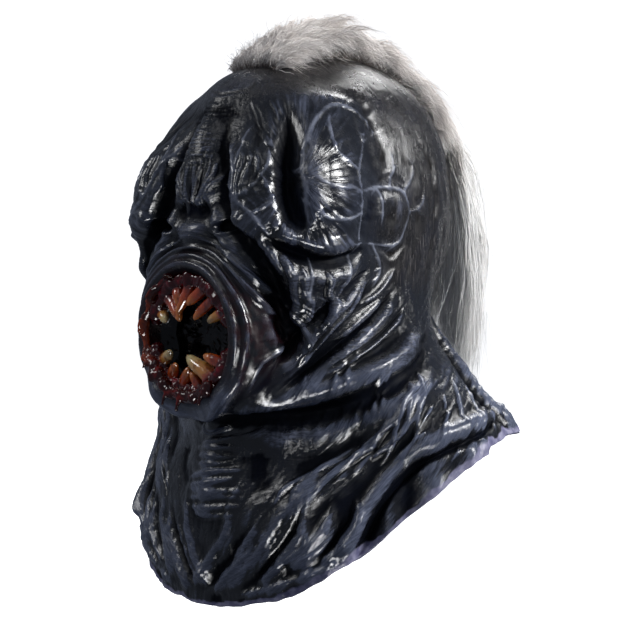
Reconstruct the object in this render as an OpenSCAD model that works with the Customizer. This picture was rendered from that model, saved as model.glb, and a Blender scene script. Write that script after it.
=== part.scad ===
// Over-the-head latex monster mask: one hollow cast skin with a round toothed
// mouth and two vision openings, a fur crest glued along the scalp and a mane
// of long hair that hangs down behind it in three locks.
// Millimetres, +Z up. The face looks along -Y and the wearer's left is +X.
// The origin is the middle of the wearer's head, level with the ears.

/* [Skin] */
// Half of the width across the temples
skull_half_w = 98; // [94:1:104]
// Height of the scalp above the origin
crown_z = 146; // [142:1:150]
// Half of the width of the collar over the shoulders
collar_half_w = 178; // [172:1:184]
// Depth of the chest flap below the origin
chest_drop = 297; // [288:1:306]
// Depth of the collar's hem over the shoulders
shoulder_drop = 181; // [176:1:190]
// Depth of the collar's hem behind the nape
nape_drop = 188; // [184:1:198]
// Wall of the cast latex
wall = 2.5; // [2:0.5:3.5]

/* [Face] */
// How far ahead of the origin the flat front of the muzzle lies
muzzle_ahead = 138; // [135:1:140]
// How far the swollen brows stand out
brow_reach = 37; // [30:1:40]
// Height of the middle of the mouth
mouth_z = -84; // [-88:1:-80]
// Radius of the mouth opening in the skin
mouth_r = 52; // [50:1:54]
// Angle of each vision opening from the front
eye_angle = 19; // [18:1:21]
// Height of the vision openings
eye_z = 4; // [0:1:8]
// Length of each vision opening
eye_w = 30; // [26:1:34]

/* [Mouth] */
// Radius of the gums' arch, to the middle of its section
arch_r = 45.5; // [44.5:0.5:46]
// Radius of the gums' section
gum_r = 6.8; // [6:0.2:7.2]
// How far ahead of the origin the gums lie
gum_ahead = 127; // [126:1:129]
// How far ahead of the origin the back of the mouth lies
throat_ahead = 106; // [104:1:108]

/* [Hair] */
// Half of the width of the fur crest
crest_half_w = 27; // [22:1:30]
// Height of the fur at the top of the crest
crest_h = 40; // [30:1:44]
// Width of each lock of the mane
lock_w = 21; // [18:1:23]
// Length of the mane below its root
mane_drop = 180; // [150:5:185]
// Half of the depth of the mane at its root
lock_r = 19; // [16:1:20]

/* [Hidden] */
TEETH_ABOVE = 7;
TEETH_BELOW = 6;

BROW_Z = 20;                       // the skull is a dome above this height
DOME_H = crown_z - BROW_Z;
DOME_POWER = 2.35;                 // 2 is an ellipsoid, and more is squarer
AXIS_Y = 12;                       // the rings are centred this far behind the origin
FRONT = 118;                       // reach of the brow ahead of the origin
BACK = 146;                        // reach of the skull behind the origin
ROUND = 48;                        // points around a ring of the skin
DOME_RINGS = 9;
BODY_RINGS = 27;
FINE = 64;                         // $fn of round pieces

// Rings of the skin below the brow: height, half width, reach ahead, reach behind.
RINGS = [
    [BROW_Z, skull_half_w, FRONT, BACK],
    [-20, skull_half_w - 1, FRONT - 2, BACK - 7],
    [-66, skull_half_w + 1, FRONT - 7, BACK - 38],
    [-100, skull_half_w + 14, FRONT - 12, BACK - 26],
    [-132, collar_half_w - 38, FRONT - 15, BACK - 3],
    [-162, collar_half_w - 6, FRONT - 16, BACK + 9],
    [-185, collar_half_w, FRONT - 12, BACK + 12],
    [-240, collar_half_w, FRONT - 6, BACK + 14],
    [-330, collar_half_w - 6, FRONT + 2, BACK + 10]
];

// Soft swellings of the skin: angle from the front, height, spread of each,
// how far it stands out, and how flat its top is. A negative one is a hollow.
BROW_ANGLE = 44;
THROAT_ANGLE = 42;
SWELLINGS = [
    [BROW_ANGLE, 14, 26, 74, brow_reach, 3],
    [-BROW_ANGLE, 14, 26, 74, brow_reach, 3],
    [0, 40, 12, 60, 6, 2],
    [0, mouth_z - 51, 30, 12, 8, 2],
    [THROAT_ANGLE, -165, 28, 36, -20, 2],
    [-THROAT_ANGLE, -165, 28, 36, -20, 2]
];

// The muzzle: its spread around the head, up and down, and how flat its edges are.
MUZZLE_ANGLE = 32;
MUZZLE_H = 66;
MUZZLE_POWER = 6;
FLANGE_BACK = 16;                  // from the muzzle's front back to the mouth cup's flange

// Teeth: angle round the arch from its middle, length, radius, forward lean.
UPPER_TEETH = [
    [-62, 15, 4.2, 10], [-42, 25, 5.0, 4], [-20, 17, 4.4, 12], [3, 29, 5.4, 6],
    [24, 19, 4.6, 14], [44, 27, 5.2, 2], [66, 16, 4.4, 8]
];
LOWER_TEETH = [
    [-58, 20, 4.6, 6], [-34, 15, 4.2, 12], [-12, 22, 4.8, 8],
    [12, 14, 4.2, 14], [35, 27, 5.6, 4], [60, 17, 4.6, 10]
];

// Height of the fur over the scalp at each angle from straight up, front first.
FUR_H = [[-44, 9], [-30, 19], [-12, 0.9 * crest_h], [4, crest_h], [24, 31], [50, 28], [74, 30]];
FUR_FRONT = -42;
FUR_TOP = -14;
FUR_CROWN = 22;
FUR_END = 70;
FUR_GAP = 0.3;                     // between two pieces of fur
BACKING = 2;                       // thickness of the knitted strip under the fur

MANE_Z = 62;                       // height of the mane's root, where it swings
MANE_Y = 167;
LOCK_GAP = 0.5;
LOCK_X = lock_w + LOCK_GAP;        // distance between two locks

// A smooth curve through the rings' column c at height z.
function ring_index(z, k = 0) =
    k >= len(RINGS) - 2 || z > RINGS[k + 1][0] ? k : ring_index(z, k + 1);
function ring_slope(k, c) =
    k == 0 ? 0 :
    let (n = min(k + 1, len(RINGS) - 1))
    (RINGS[n][c] - RINGS[k - 1][c]) / (RINGS[n][0] - RINGS[k - 1][0]);
function curve(from, to, slope_from, slope_to, s) =
    from * (2 * s - 3) * s * s + from + to * (3 - 2 * s) * s * s
    + slope_from * s * pow(1 - s, 2) - slope_to * s * s * (1 - s);
function ring_at(z, c) =
    let (k = ring_index(z), step = RINGS[k + 1][0] - RINGS[k][0])
    curve(RINGS[k][c], RINGS[k + 1][c], ring_slope(k, c) * step, ring_slope(k + 1, c) * step,
          (z - RINGS[k][0]) / step);

// Height of the hem at an angle from the front.
function hem_z(a) =
    let (swing = (chest_drop - nape_drop) / 2, mid = (chest_drop + nape_drop) / 2)
    -(mid + shoulder_drop) / 2 - swing * cos(a) - (mid - shoulder_drop) / 2 * cos(2 * a);

// A bump of height 1 at angle and height 0, with its spread and its flatness.
function bump(a, z, spread_a, spread_z, power) =
    exp(-pow(pow(a / spread_a, 2) + pow(z / spread_z, 2), power / 2));

// How far the face swells out at an angle and a height. The inner face swells less
// far along and around the head, so that the wall keeps its thickness on a slope.
function swell(a, z, inset) = [for (s = SWELLINGS)
    s[4] * bump(a - s[0], z - s[1], s[2] - inset / 2, s[3] - inset, s[5])
] * [for (s = SWELLINGS) 1];

// How far the muzzle's flat front stands ahead of a face with the given reach.
function muzzle(a, z, inset, reach) =
    abs(a) > 75 ? 0 :
    bump(a, z - mouth_z - 1, MUZZLE_ANGLE - inset / 2, MUZZLE_H - inset, MUZZLE_POWER)
    * ((muzzle_ahead + AXIS_Y - inset) / cos(a) - reach);

// A point of the skin, or of its inner face when inset is its wall.
function skin_point(z, a, inset) =
    let (
        low = min(z, BROW_Z),
        f = dome(max(0, z - BROW_Z) / (DOME_H - inset)),
        reach = (cos(a) > 0 ? ring_at(low, 2) + AXIS_Y : ring_at(low, 3) - AXIS_Y) - inset,
        out = (swell(a, z, inset) + muzzle(a, z, inset, reach)) * min(1, 1.6 * f)
    )
    [
        ((ring_at(low, 1) - inset) * f + out) * sin(a),
        AXIS_Y - (reach * f + out) * cos(a),
        z
    ];
function dome(t) = pow(max(0, 1 - pow(t, DOME_POWER)), 1 / DOME_POWER);

// Points of one face of the skin: the pole, then its rings from the crown to the hem.
function skin_face(inset) = [
    [0, AXIS_Y, crown_z - inset],
    for (i = [1 : DOME_RINGS], j = [0 : ROUND - 1])
        skin_point(BROW_Z + (DOME_H - inset) * cos(90 * i / DOME_RINGS), angle_of(j), inset),
    for (i = [1 : BODY_RINGS], j = [0 : ROUND - 1])
        let (a = angle_of(j))
        skin_point(BROW_Z + (hem_z(a) - BROW_Z) * i / BODY_RINGS, a, inset)
];
function angle_of(j) = 360 * j / ROUND - 180;
function turned(face, flip) = flip ? [for (i = [len(face) - 1 : -1 : 0]) face[i]] : face;

// Triangles of one face of the skin, whose first point is number start.
function skin_triangles(start, flip) = [
    for (j = [0 : ROUND - 1])
        turned([start, start + 1 + (j + 1) % ROUND, start + 1 + j], flip),
    for (i = [0 : DOME_RINGS + BODY_RINGS - 2], j = [0 : ROUND - 1])
        let (
            p = start + 1 + i * ROUND + j,
            q = start + 1 + i * ROUND + (j + 1) % ROUND
        )
        each [turned([p, q, q + ROUND], flip), turned([p, q + ROUND, p + ROUND], flip)]
];
function hem_triangles(outer, inner) = [
    for (j = [0 : ROUND - 1])
        let (k = (j + 1) % ROUND)
        each [[outer + j, outer + k, inner + k], [outer + j, inner + k, inner + j]]
];

module cast_skin() {
    points_per_face = 1 + (DOME_RINGS + BODY_RINGS) * ROUND;
    last_ring = points_per_face - ROUND;
    polyhedron(
        points = concat(skin_face(0), skin_face(wall)),
        faces = concat(
            skin_triangles(0, true),
            skin_triangles(points_per_face, false),
            hem_triangles(last_ring, points_per_face + last_ring)
        ),
        convexity = 8
    );
}

// Puts its children on the mouth's axis, their +Z along the way out of the mouth.
module on_mouth_axis(ahead) {
    translate([0, -ahead, mouth_z]) rotate([90, 0, 0]) children();
}

module almond(length) {
    r = length * 0.62;
    drop = sqrt(r * r - length * length / 4);
    intersection() {
        translate([0, drop]) circle(r, $fn = FINE);
        translate([0, -drop]) circle(r, $fn = FINE);
    }
}

module latex_skin() {
    hole_depth = 60;
    color("#1b1c21") difference() {
        cast_skin();
        on_mouth_axis(throat_ahead) cylinder(r = mouth_r, h = hole_depth, $fn = FINE);
        for (side = [-1, 1])
            translate(skin_point(eye_z, side * eye_angle, hole_depth / 2))
                rotate([90, side * 14, side * eye_angle])
                    linear_extrude(hole_depth) almond(eye_w);
    }
}

// The cup of black net behind the teeth, glued to the back of the lips.
module mouth_liner() {
    net = 1.2;
    throat_r = arch_r - 2;
    wide_r = mouth_r + 3;
    lip_r = mouth_r + 7;
    depth = gum_ahead - gum_r - 3 - throat_ahead;
    lip_depth = muzzle_ahead - FLANGE_BACK - throat_ahead;
    color("#0c0c0e") on_mouth_axis(throat_ahead)
        rotate_extrude($fn = FINE) polygon([
            [0, 0], [throat_r, 0], [wide_r, depth], [lip_r, lip_depth],
            [lip_r - net, lip_depth + net], [wide_r - net, depth + net],
            [throat_r - net, net], [0, net]
        ]);
}

// An arch of gum over the given half angle, +X of the arch's middle at angle mid.
module gum_arch(mid, half) {
    on_mouth_axis(gum_ahead) rotate([0, 0, mid - half])
        rotate_extrude(angle = 2 * half, $fn = FINE) translate([arch_r, 0]) circle(gum_r, $fn = 32);
}

module upper_gum() {
    color("#8c1a1e") gum_arch(90, 80);
}

module lower_gum() {
    color("#8c1a1e") gum_arch(-90, 78);
}

// A pointed tooth that grows along +Z from its root.
module tooth(length, r) {
    rotate_extrude($fn = 32) polygon([
        [0, 0], [0.8 * r, 0], [r, 0.25 * length], [0.72 * r, 0.65 * length],
        [0.25 * r, 0.94 * length], [0, length]
    ]);
}

// A tooth of one row. up is 90 for the upper arch and -90 for the lower one.
module tooth_in_arch(row, i, up) {
    t = row[i - 1];
    root = 3;
    color("#d9b25c") on_mouth_axis(gum_ahead) rotate([0, 0, up + t[0]])
        translate([arch_r - gum_r + root, 0, 0]) rotate([0, t[3] - 90, 0]) tooth(t[1], t[2]);
}

module tongue() {
    r = 5;
    tip_ahead = gum_ahead - gum_r - 1;
    color("#17090b") hull() {
        translate([0, r - tip_ahead, mouth_z - 27]) scale([1.9, 1, 1]) sphere(r, $fn = 24);
        translate([0, -throat_ahead - r - 0.8, mouth_z - 22]) scale([2.6, 1, 1])
            sphere(r, $fn = 24);
    }
}

// Thick drops of red gel that hang on the lower lip, one separate solid each.
module gore_clots() {
    clots = [[-34, 5, 3], [-18, 6.5, 5], [-2, 4, 4], [15, 5.5, 4.5], [31, 3.5, 3]];
    color("#7a0c10") for (c = clots)
        on_mouth_axis(gum_ahead + gum_r + 2) rotate([0, 0, c[0] - 90])
            translate([arch_r + c[2], 0, 0]) sphere(c[1], $fn = 24);
}

// A closed sheet between two grids of points with the same rows and columns.
module sheet_between(outer, inner) {
    rows = len(outer);
    cols = len(outer[0]);
    ring = 2 * cols;
    points = [for (i = [0 : rows - 1]) each concat(
        outer[i], [for (j = [cols - 1 : -1 : 0]) inner[i][j]])];
    last = (rows - 1) * ring;
    polyhedron(points, concat(
        [for (j = [0 : cols - 2]) let (k = ring - 1 - j) each [[j + 1, j, k], [j + 1, k, k - 1]]],
        [for (j = [0 : cols - 2]) let (k = ring - 1 - j)
            each [[last + j, last + j + 1, last + k], [last + j + 1, last + k - 1, last + k]]],
        [for (i = [0 : rows - 2], j = [0 : ring - 1])
            let (p = i * ring + j, q = i * ring + (j + 1) % ring)
            each [[p, q, q + ring], [p, q + ring, p + ring]]]
    ), convexity = 4);
}

// A patch of black net that lies on the skin's inner face behind a vision opening.
module eye_screen(side) {
    net = 0.8;
    across = eye_w / 2 + 5;
    high = eye_w / 3 + 3;
    grid = [-1 : 0.25 : 1];
    function net_point(u, v, inset) = skin_point(
        eye_z + high * v * sqrt(1 - 0.45 * u * u),
        side * eye_angle + across / 2 * u * sqrt(1 - 0.45 * v * v), inset);
    color("#0c0c0e") sheet_between(
        [for (u = grid) [for (v = grid) net_point(u, v, wall)]],
        [for (u = grid) [for (v = grid) net_point(u, v, wall + net)]]
    );
}

// A point over the scalp, at angle b back from straight up and x to the side.
function scalp_point(b, x, lift) =
    let (
        side = x / (skull_half_w + lift),
        up = pow(cos(b), 2 / DOME_POWER) * dome(abs(side)),
        reach = (b < 0 ? -FRONT - AXIS_Y - lift : BACK - AXIS_Y + lift)
    )
    [x, AXIS_Y + reach * sqrt(max(0, pow(dome(up), 2) - side * side)), BROW_Z + (DOME_H + lift) * up];

// A closed solid that runs over the scalp from angle b0 to b1. Its height over
// base at angle b is height(b), rounded off towards its edges.
module over_scalp(b0, b1, half_w, base, height) {
    edge = 0.8;
    angles = [for (i = [0 : 12]) b0 + (b1 - b0) * i / 12];
    grid = [-1 : 0.25 : 1];
    sheet_between(
        [for (b = angles) [for (u = grid)
            scalp_point(b, half_w * u, base + edge + height(b) * sqrt(1 - 0.98 * u * u))]],
        [for (b = angles) [for (u = grid) scalp_point(b, half_w * u, base)]]
    );
}

module crest_backing() {
    color("#b7afa6") over_scalp(FUR_FRONT, FUR_END, crest_half_w - 3, 0.4, function (b) BACKING - 0.8);
}

module fur(b0, b1) {
    color("#cfc9c1") over_scalp(b0, b1 - FUR_GAP, crest_half_w, 3, function (b) lookup(b, FUR_H));
}

module crest_front() {
    fur(FUR_FRONT, FUR_TOP);
}

module crest_top() {
    fur(FUR_TOP, FUR_CROWN);
}

module crest_crown() {
    difference() {
        fur(FUR_CROWN, FUR_END);
        translate([0, MANE_Y, MANE_Z]) rotate([0, 90, 0])
            cylinder(r = lock_r + 0.6, h = 4 * crest_half_w, center = true, $fn = FINE);
        translate([-2 * crest_half_w, MANE_Y, MANE_Z - 60])
            cube([4 * crest_half_w, 60, 60 + lock_r]);
    }
}

// A bar of the given thickness, round at its top with radius r, over an outline
// that hangs down from it.
module hanging_bar(thickness, r, outline) {
    linear_extrude(thickness, center = true) circle(r, $fn = FINE);
    linear_extrude(thickness, center = true) polygon(outline);
}

// A lock of the mane. Its top is round about both ways that it swings.
module lock_of_mane(x, length) {
    half = lock_w / 2;
    tip = 6;
    color("#d6d1ca") translate([x, MANE_Y, MANE_Z]) intersection() {
        rotate([90, 0, 90]) union() hanging_bar(lock_w, lock_r, [
            [-lock_r, 0], [lock_r, 0], [lock_r + 4, -0.35 * length], [lock_r, -0.8 * length],
            [tip, -length], [-tip, -length], [-0.8 * lock_r, -0.7 * length]
        ]);
        rotate([90, 0, 0]) union() hanging_bar(4 * lock_r, half, [
            [-half, 0], [half, 0], [half, -0.7 * length], [tip, -length],
            [-tip, -length], [-half, -0.7 * length]
        ]);
    }
}

latex_skin();
mouth_liner();
upper_gum();
lower_gum();
tongue();
gore_clots();
for (i = [1 : TEETH_ABOVE])
    tooth_in_arch(UPPER_TEETH, i, 90);
for (i = [1 : TEETH_BELOW])
    tooth_in_arch(LOWER_TEETH, i, -90);
eye_screen(1);  // eye_screen_left
eye_screen(-1);  // eye_screen_right
crest_backing();
crest_front();
crest_top();
crest_crown();
lock_of_mane(0, mane_drop);  // mane_centre
lock_of_mane(LOCK_X, 0.92 * mane_drop);  // mane_left
lock_of_mane(-LOCK_X, 0.95 * mane_drop);  // mane_right
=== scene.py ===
"""Looks of the over-the-head latex monster mask: a sculpted, dry-brushed skin with a
wet toothed mouth, a fur crest and a hanging mane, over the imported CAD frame."""
import math

import bpy
import numpy as np
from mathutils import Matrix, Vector


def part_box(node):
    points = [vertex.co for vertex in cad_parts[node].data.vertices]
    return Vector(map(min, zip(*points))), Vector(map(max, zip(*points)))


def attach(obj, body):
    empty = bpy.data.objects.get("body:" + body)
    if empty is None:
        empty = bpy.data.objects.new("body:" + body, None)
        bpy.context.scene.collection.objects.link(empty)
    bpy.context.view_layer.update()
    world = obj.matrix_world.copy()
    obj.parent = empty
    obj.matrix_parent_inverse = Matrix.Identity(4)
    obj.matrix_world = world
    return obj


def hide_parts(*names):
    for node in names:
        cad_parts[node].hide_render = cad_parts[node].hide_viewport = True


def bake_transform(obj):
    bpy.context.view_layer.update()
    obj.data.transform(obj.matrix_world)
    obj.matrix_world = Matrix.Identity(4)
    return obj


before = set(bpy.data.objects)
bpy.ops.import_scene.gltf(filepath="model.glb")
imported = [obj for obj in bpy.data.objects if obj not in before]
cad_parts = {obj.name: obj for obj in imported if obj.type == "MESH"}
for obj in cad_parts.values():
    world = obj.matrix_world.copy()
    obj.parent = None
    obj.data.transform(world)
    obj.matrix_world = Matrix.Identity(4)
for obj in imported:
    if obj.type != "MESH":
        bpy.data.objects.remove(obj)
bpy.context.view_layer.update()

MM = 0.001
rng = np.random.default_rng(20)


def node_box(node):
    """The CAD node's lowest and highest corners in millimetres."""
    low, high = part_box(node)
    return np.array(low) / MM, np.array(high) / MM


# ---------------------------------------------------------------- sizes, from the frame
SKIN_LOW, SKIN_HIGH = node_box("latex_skin")
UPPER_LOW, UPPER_HIGH = node_box("upper_gum")
LOWER_LOW, LOWER_HIGH = node_box("lower_gum")
CROWN_Z = SKIN_HIGH[2]
CHEST_DROP = -SKIN_LOW[2]
MOUTH_Z = (UPPER_HIGH[2] + LOWER_LOW[2]) / 2
GUM_Y = (UPPER_LOW[1] + UPPER_HIGH[1]) / 2
GUM_R = (UPPER_HIGH[1] - UPPER_LOW[1]) / 2
ARCH_R = (UPPER_HIGH[2] - LOWER_LOW[2]) / 2 - GUM_R

# The skin's rule, as in part.scad, in millimetres and degrees from the front.
AXIS_Y = 12.0
BROW_Z = 20.0
DOME_POWER = 2.35
DOME_H = CROWN_Z - BROW_Z
SHOULDER_DROP, NAPE_DROP = 181.0, 188.0
MUZZLE_AHEAD = 138.0
# each ring: its height, half width, reach in front and reach behind
RINGS = np.array([
    [BROW_Z, 98, 118, 146], [-20, 97, 116, 139], [-66, 99, 111, 108], [-100, 112, 106, 120],
    [-132, 140, 103, 143], [-162, 172, 102, 155], [-185, 178, 106, 158],
    [-240, 178, 112, 160], [-330, 172, 120, 156]], float)
HALF_WIDTH, FRONT, BACK = 1, 2, 3
SKULL_HALF, SKULL_FRONT, SKULL_BACK = RINGS[0, 1:]
# each swelling: its angle, height, spread round and up, amount and power
SWELLINGS = [(44, 14, 26, 74, 37, 3), (-44, 14, 26, 74, 37, 3), (0, 40, 12, 60, 6, 2),
             (0, MOUTH_Z - 51, 30, 12, 8, 2), (42, -165, 28, 36, -20, 2),
             (-42, -165, 28, 36, -20, 2)]


# ---------------------------------------------------------------- number tools
GRADIENTS = rng.normal(size=(256, 3)).astype(np.float32)
GRADIENTS /= np.linalg.norm(GRADIENTS, axis=1)[:, None]
SHUFFLE = rng.permutation(256)


def noise(points, seed=0):
    """Smooth gradient noise of about -1 to 1 at each point."""
    p = np.asarray(points, np.float32) + np.float32(17.31 * seed)
    cell = np.floor(p)
    f = p - cell
    cell = cell.astype(np.int64)
    u = f * f * f * (f * (f * 6 - 15) + 10)
    total = np.zeros(p.shape[:-1], np.float32)
    for dx in (0, 1):
        ix = SHUFFLE[(cell[..., 0] + dx) & 255]
        wx = u[..., 0] if dx else 1 - u[..., 0]
        for dy in (0, 1):
            iy = SHUFFLE[(ix + cell[..., 1] + dy) & 255]
            wy = u[..., 1] if dy else 1 - u[..., 1]
            for dz in (0, 1):
                g = GRADIENTS[SHUFFLE[(iy + cell[..., 2] + dz) & 255]]
                wz = u[..., 2] if dz else 1 - u[..., 2]
                dot = ((f[..., 0] - dx) * g[..., 0] + (f[..., 1] - dy) * g[..., 1]
                       + (f[..., 2] - dz) * g[..., 2])
                total += wx * wy * wz * dot
    return total * 1.6


def layered(points, seed=0, octaves=3):
    """Noise with finer and weaker layers added."""
    return sum(noise(np.asarray(points) * 2 ** k, seed + k) / 2 ** k for k in range(octaves))


def smooth(low, high, value):
    """0 below low, 1 above high, and a smooth step between them."""
    t = np.clip((value - low) / (high - low), 0, 1)
    return t * t * (3 - 2 * t)


def window(value, low, high, edge):
    """1 between low and high, falling to 0 over edge outside them."""
    return smooth(low - edge, low, value) * (1 - smooth(high, high + edge, value))


def spread_out(field, size):
    """The field blurred by about size grid steps, wrapping round the head."""
    count = 2 * size + 1
    for axis, mode in 3 * ((0, "edge"), (1, "wrap")):
        pad = [(0, 0), (0, 0)]
        pad[axis] = (size + 1, size)
        total = np.moveaxis(np.cumsum(np.pad(field, pad, mode=mode), axis=axis, dtype=np.float64), axis, 0)
        field = np.moveaxis((total[count:] - total[:-count]) / count, 0, axis)
    return field


def lowest_near(field, size):
    """The lowest value of the field within size grid steps."""
    for axis, mode in ((0, "clip"), (1, "wrap")):
        places = np.arange(field.shape[axis])
        steps = range(-size, size + 1, 2)
        field = np.min([np.take(field, places + step, axis, mode=mode) for step in steps], 0)
    return field


def curve(points, at):
    """Catmull-Rom curves through rows of points, read at places that count the points from 0."""
    p = np.asarray(points, float)
    before, after = 2 * p[..., :1, :] - p[..., 1:2, :], 2 * p[..., -1:, :] - p[..., -2:-1, :]
    p = np.concatenate([before, p, after], -2)
    k = np.minimum(at.astype(int), p.shape[-2] - 4)
    t = (at - k)[:, None]
    a, b, c, d = (p[..., k + i, :] for i in range(4))
    return 0.5 * (2 * b + (c - a) * t + (2 * a - 5 * b + 4 * c - d) * t ** 2
                  + (3 * b - a - 3 * c + d) * t ** 3)


def smooth_line(points, steps=6):
    """A smooth line through the points, with so many steps between two of them."""
    return curve(points, np.arange((len(points) - 1) * steps + 1) / steps)


# ---------------------------------------------------------------- the CAD surface
def ring_at(z, column):
    """The rings' column at height z, as the CAD's smooth curve."""
    knots, values = RINGS[::-1, 0], RINGS[::-1, column]
    slopes = np.zeros(len(knots))
    slopes[1:-1] = (values[2:] - values[:-2]) / (knots[2:] - knots[:-2])
    slopes[0] = (values[1] - values[0]) / (knots[1] - knots[0])
    k = np.clip(np.searchsorted(knots, z) - 1, 0, len(knots) - 2)
    step = knots[k + 1] - knots[k]
    t = (z - knots[k]) / step
    return (values[k] * (2 * t ** 3 - 3 * t ** 2 + 1) + step * slopes[k] * (t ** 3 - 2 * t ** 2 + t)
            + values[k + 1] * (3 * t ** 2 - 2 * t ** 3) + step * slopes[k + 1] * (t ** 3 - t ** 2))


def bump(a, z, spread_a, spread_z, power):
    """A rounded swelling of height 1 at angle 0 and height 0."""
    return np.exp(-((a / spread_a) ** 2 + (z / spread_z) ** 2) ** (power / 2))


def surface(angle, z):
    """Points of the skin at angles from the front and heights."""
    angle, z = np.broadcast_arrays(np.asarray(angle, float), np.asarray(z, float))
    a = (angle + 180) % 360 - 180
    low = np.minimum(z, BROW_Z)
    dome = np.clip(1 - (np.maximum(0, z - BROW_Z) / DOME_H) ** DOME_POWER, 0, 1) ** (1 / DOME_POWER)
    c, s = np.cos(np.radians(a)), np.sin(np.radians(a))
    reach = np.where(c > 0, ring_at(low, FRONT) + AXIS_Y, ring_at(low, BACK) - AXIS_Y)
    out = sum(h * bump(a - a0, z - z0, sa, sz, p) for a0, z0, sa, sz, h, p in SWELLINGS)
    flat = bump(a, z - MOUTH_Z - 1, 32, 66, 6) * (np.abs(a) < 75)
    out = out + flat * ((MUZZLE_AHEAD + AXIS_Y) / np.maximum(0.25, c) - reach)
    out = out * np.minimum(1, 1.6 * dome)
    return np.stack([(ring_at(low, HALF_WIDTH) * dome + out) * s, AXIS_Y - (reach * dome + out) * c, z], -1)


def hem_z(angle):
    """The hem's height: low on the chest and the nape, high over the shoulders."""
    swing, middle = (CHEST_DROP - NAPE_DROP) / 2, (CHEST_DROP + NAPE_DROP) / 2
    a = np.radians(angle)
    return (-(middle + SHOULDER_DROP) / 2 - swing * np.cos(a)
            - (middle - SHOULDER_DROP) / 2 * np.cos(2 * a))


def scalp(b, x, lift=0.0):
    """A point over the scalp, at angle b back from straight up and x to the side."""
    b, x = np.broadcast_arrays(np.asarray(b, float), np.asarray(x, float))
    side = np.abs(x) / (SKULL_HALF + lift)
    up = np.cos(np.radians(b)) ** (2 / DOME_POWER) * (1 - side ** DOME_POWER) ** (1 / DOME_POWER)
    depth = np.sqrt(np.clip((1 - up ** DOME_POWER) ** (2 / DOME_POWER) - side ** 2, 0, 1))
    reach = np.where(b < 0, -(SKULL_FRONT + AXIS_Y + lift), SKULL_BACK - AXIS_Y + lift)
    return np.stack([x, AXIS_Y + reach * depth, BROW_Z + (DOME_H + lift) * up], -1)


def round_path(angle, radius):
    """Points on a level circle, where noise closes on itself round the head."""
    return np.stack([np.cos(np.radians(angle)) * radius, np.sin(np.radians(angle)) * radius, 0 * angle], -1)


def normals_of(grid):
    """Outward unit normals at a grid's points; its columns run round the head."""
    around = np.roll(grid, -1, 1) - np.roll(grid, 1, 1)
    down = np.gradient(grid, axis=0)
    n = np.cross(down, around)
    return n / np.maximum(1e-9, np.linalg.norm(n, axis=-1))[..., None]


# ---------------------------------------------------------------- mesh and material tools
def make_mesh(name, points, faces, fields=None, material=None):
    """An object from points in millimetres and groups of faces, with float fields."""
    groups = [np.asarray(g, np.int32) for g in (faces if isinstance(faces, list) else [faces])]
    corners = np.concatenate([np.full(len(g), g.shape[1]) for g in groups])
    mesh = bpy.data.meshes.new(name)
    mesh.vertices.add(len(points))
    mesh.vertices.foreach_set("co", (np.asarray(points, np.float64) * MM).ravel())
    mesh.loops.add(int(corners.sum()))
    mesh.loops.foreach_set("vertex_index", np.concatenate([g.ravel() for g in groups]))
    mesh.polygons.add(len(corners))
    mesh.polygons.foreach_set("loop_start", np.cumsum(corners) - corners)
    mesh.update(calc_edges=True)
    mesh.polygons.foreach_set("use_smooth", np.ones(len(corners), bool))
    for key, values in (fields or {}).items():
        values = np.asarray(values, np.float32)
        kind = "FLOAT" if values.ndim == 1 else "FLOAT_VECTOR"
        layer = mesh.attributes.new(key, kind, "POINT")
        layer.data.foreach_set("value" if values.ndim == 1 else "vector", values.ravel())
    piece = bpy.data.objects.new(name, mesh)
    bpy.context.scene.collection.objects.link(piece)
    if material:
        mesh.materials.append(material)
    return piece


def dress(piece, node, body="mask"):
    """The piece shows in place of a CAD node and rides on a body."""
    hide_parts(node)
    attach(piece, body)


def grid_faces(rows, columns, closed=True):
    """Quads of a grid whose columns run round a loop."""
    i, j = np.meshgrid(np.arange(rows - 1), np.arange(columns if closed else columns - 1),
                       indexing="ij")
    k = (j + 1) % columns
    return np.stack([i * columns + j, (i + 1) * columns + j, (i + 1) * columns + k,
                     i * columns + k], -1).reshape(-1, 4)


def fans(rings, sides, first):
    """Triangles that close both ends of a tube whose end points are first and first + 1."""
    i = np.arange(sides)
    k = (i + 1) % sides
    last = (rings - 1) * sides
    return np.concatenate([np.stack([k, i, 0 * i + first], -1),
                           np.stack([last + i, last + k, 0 * i + first + 1], -1)])


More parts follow.
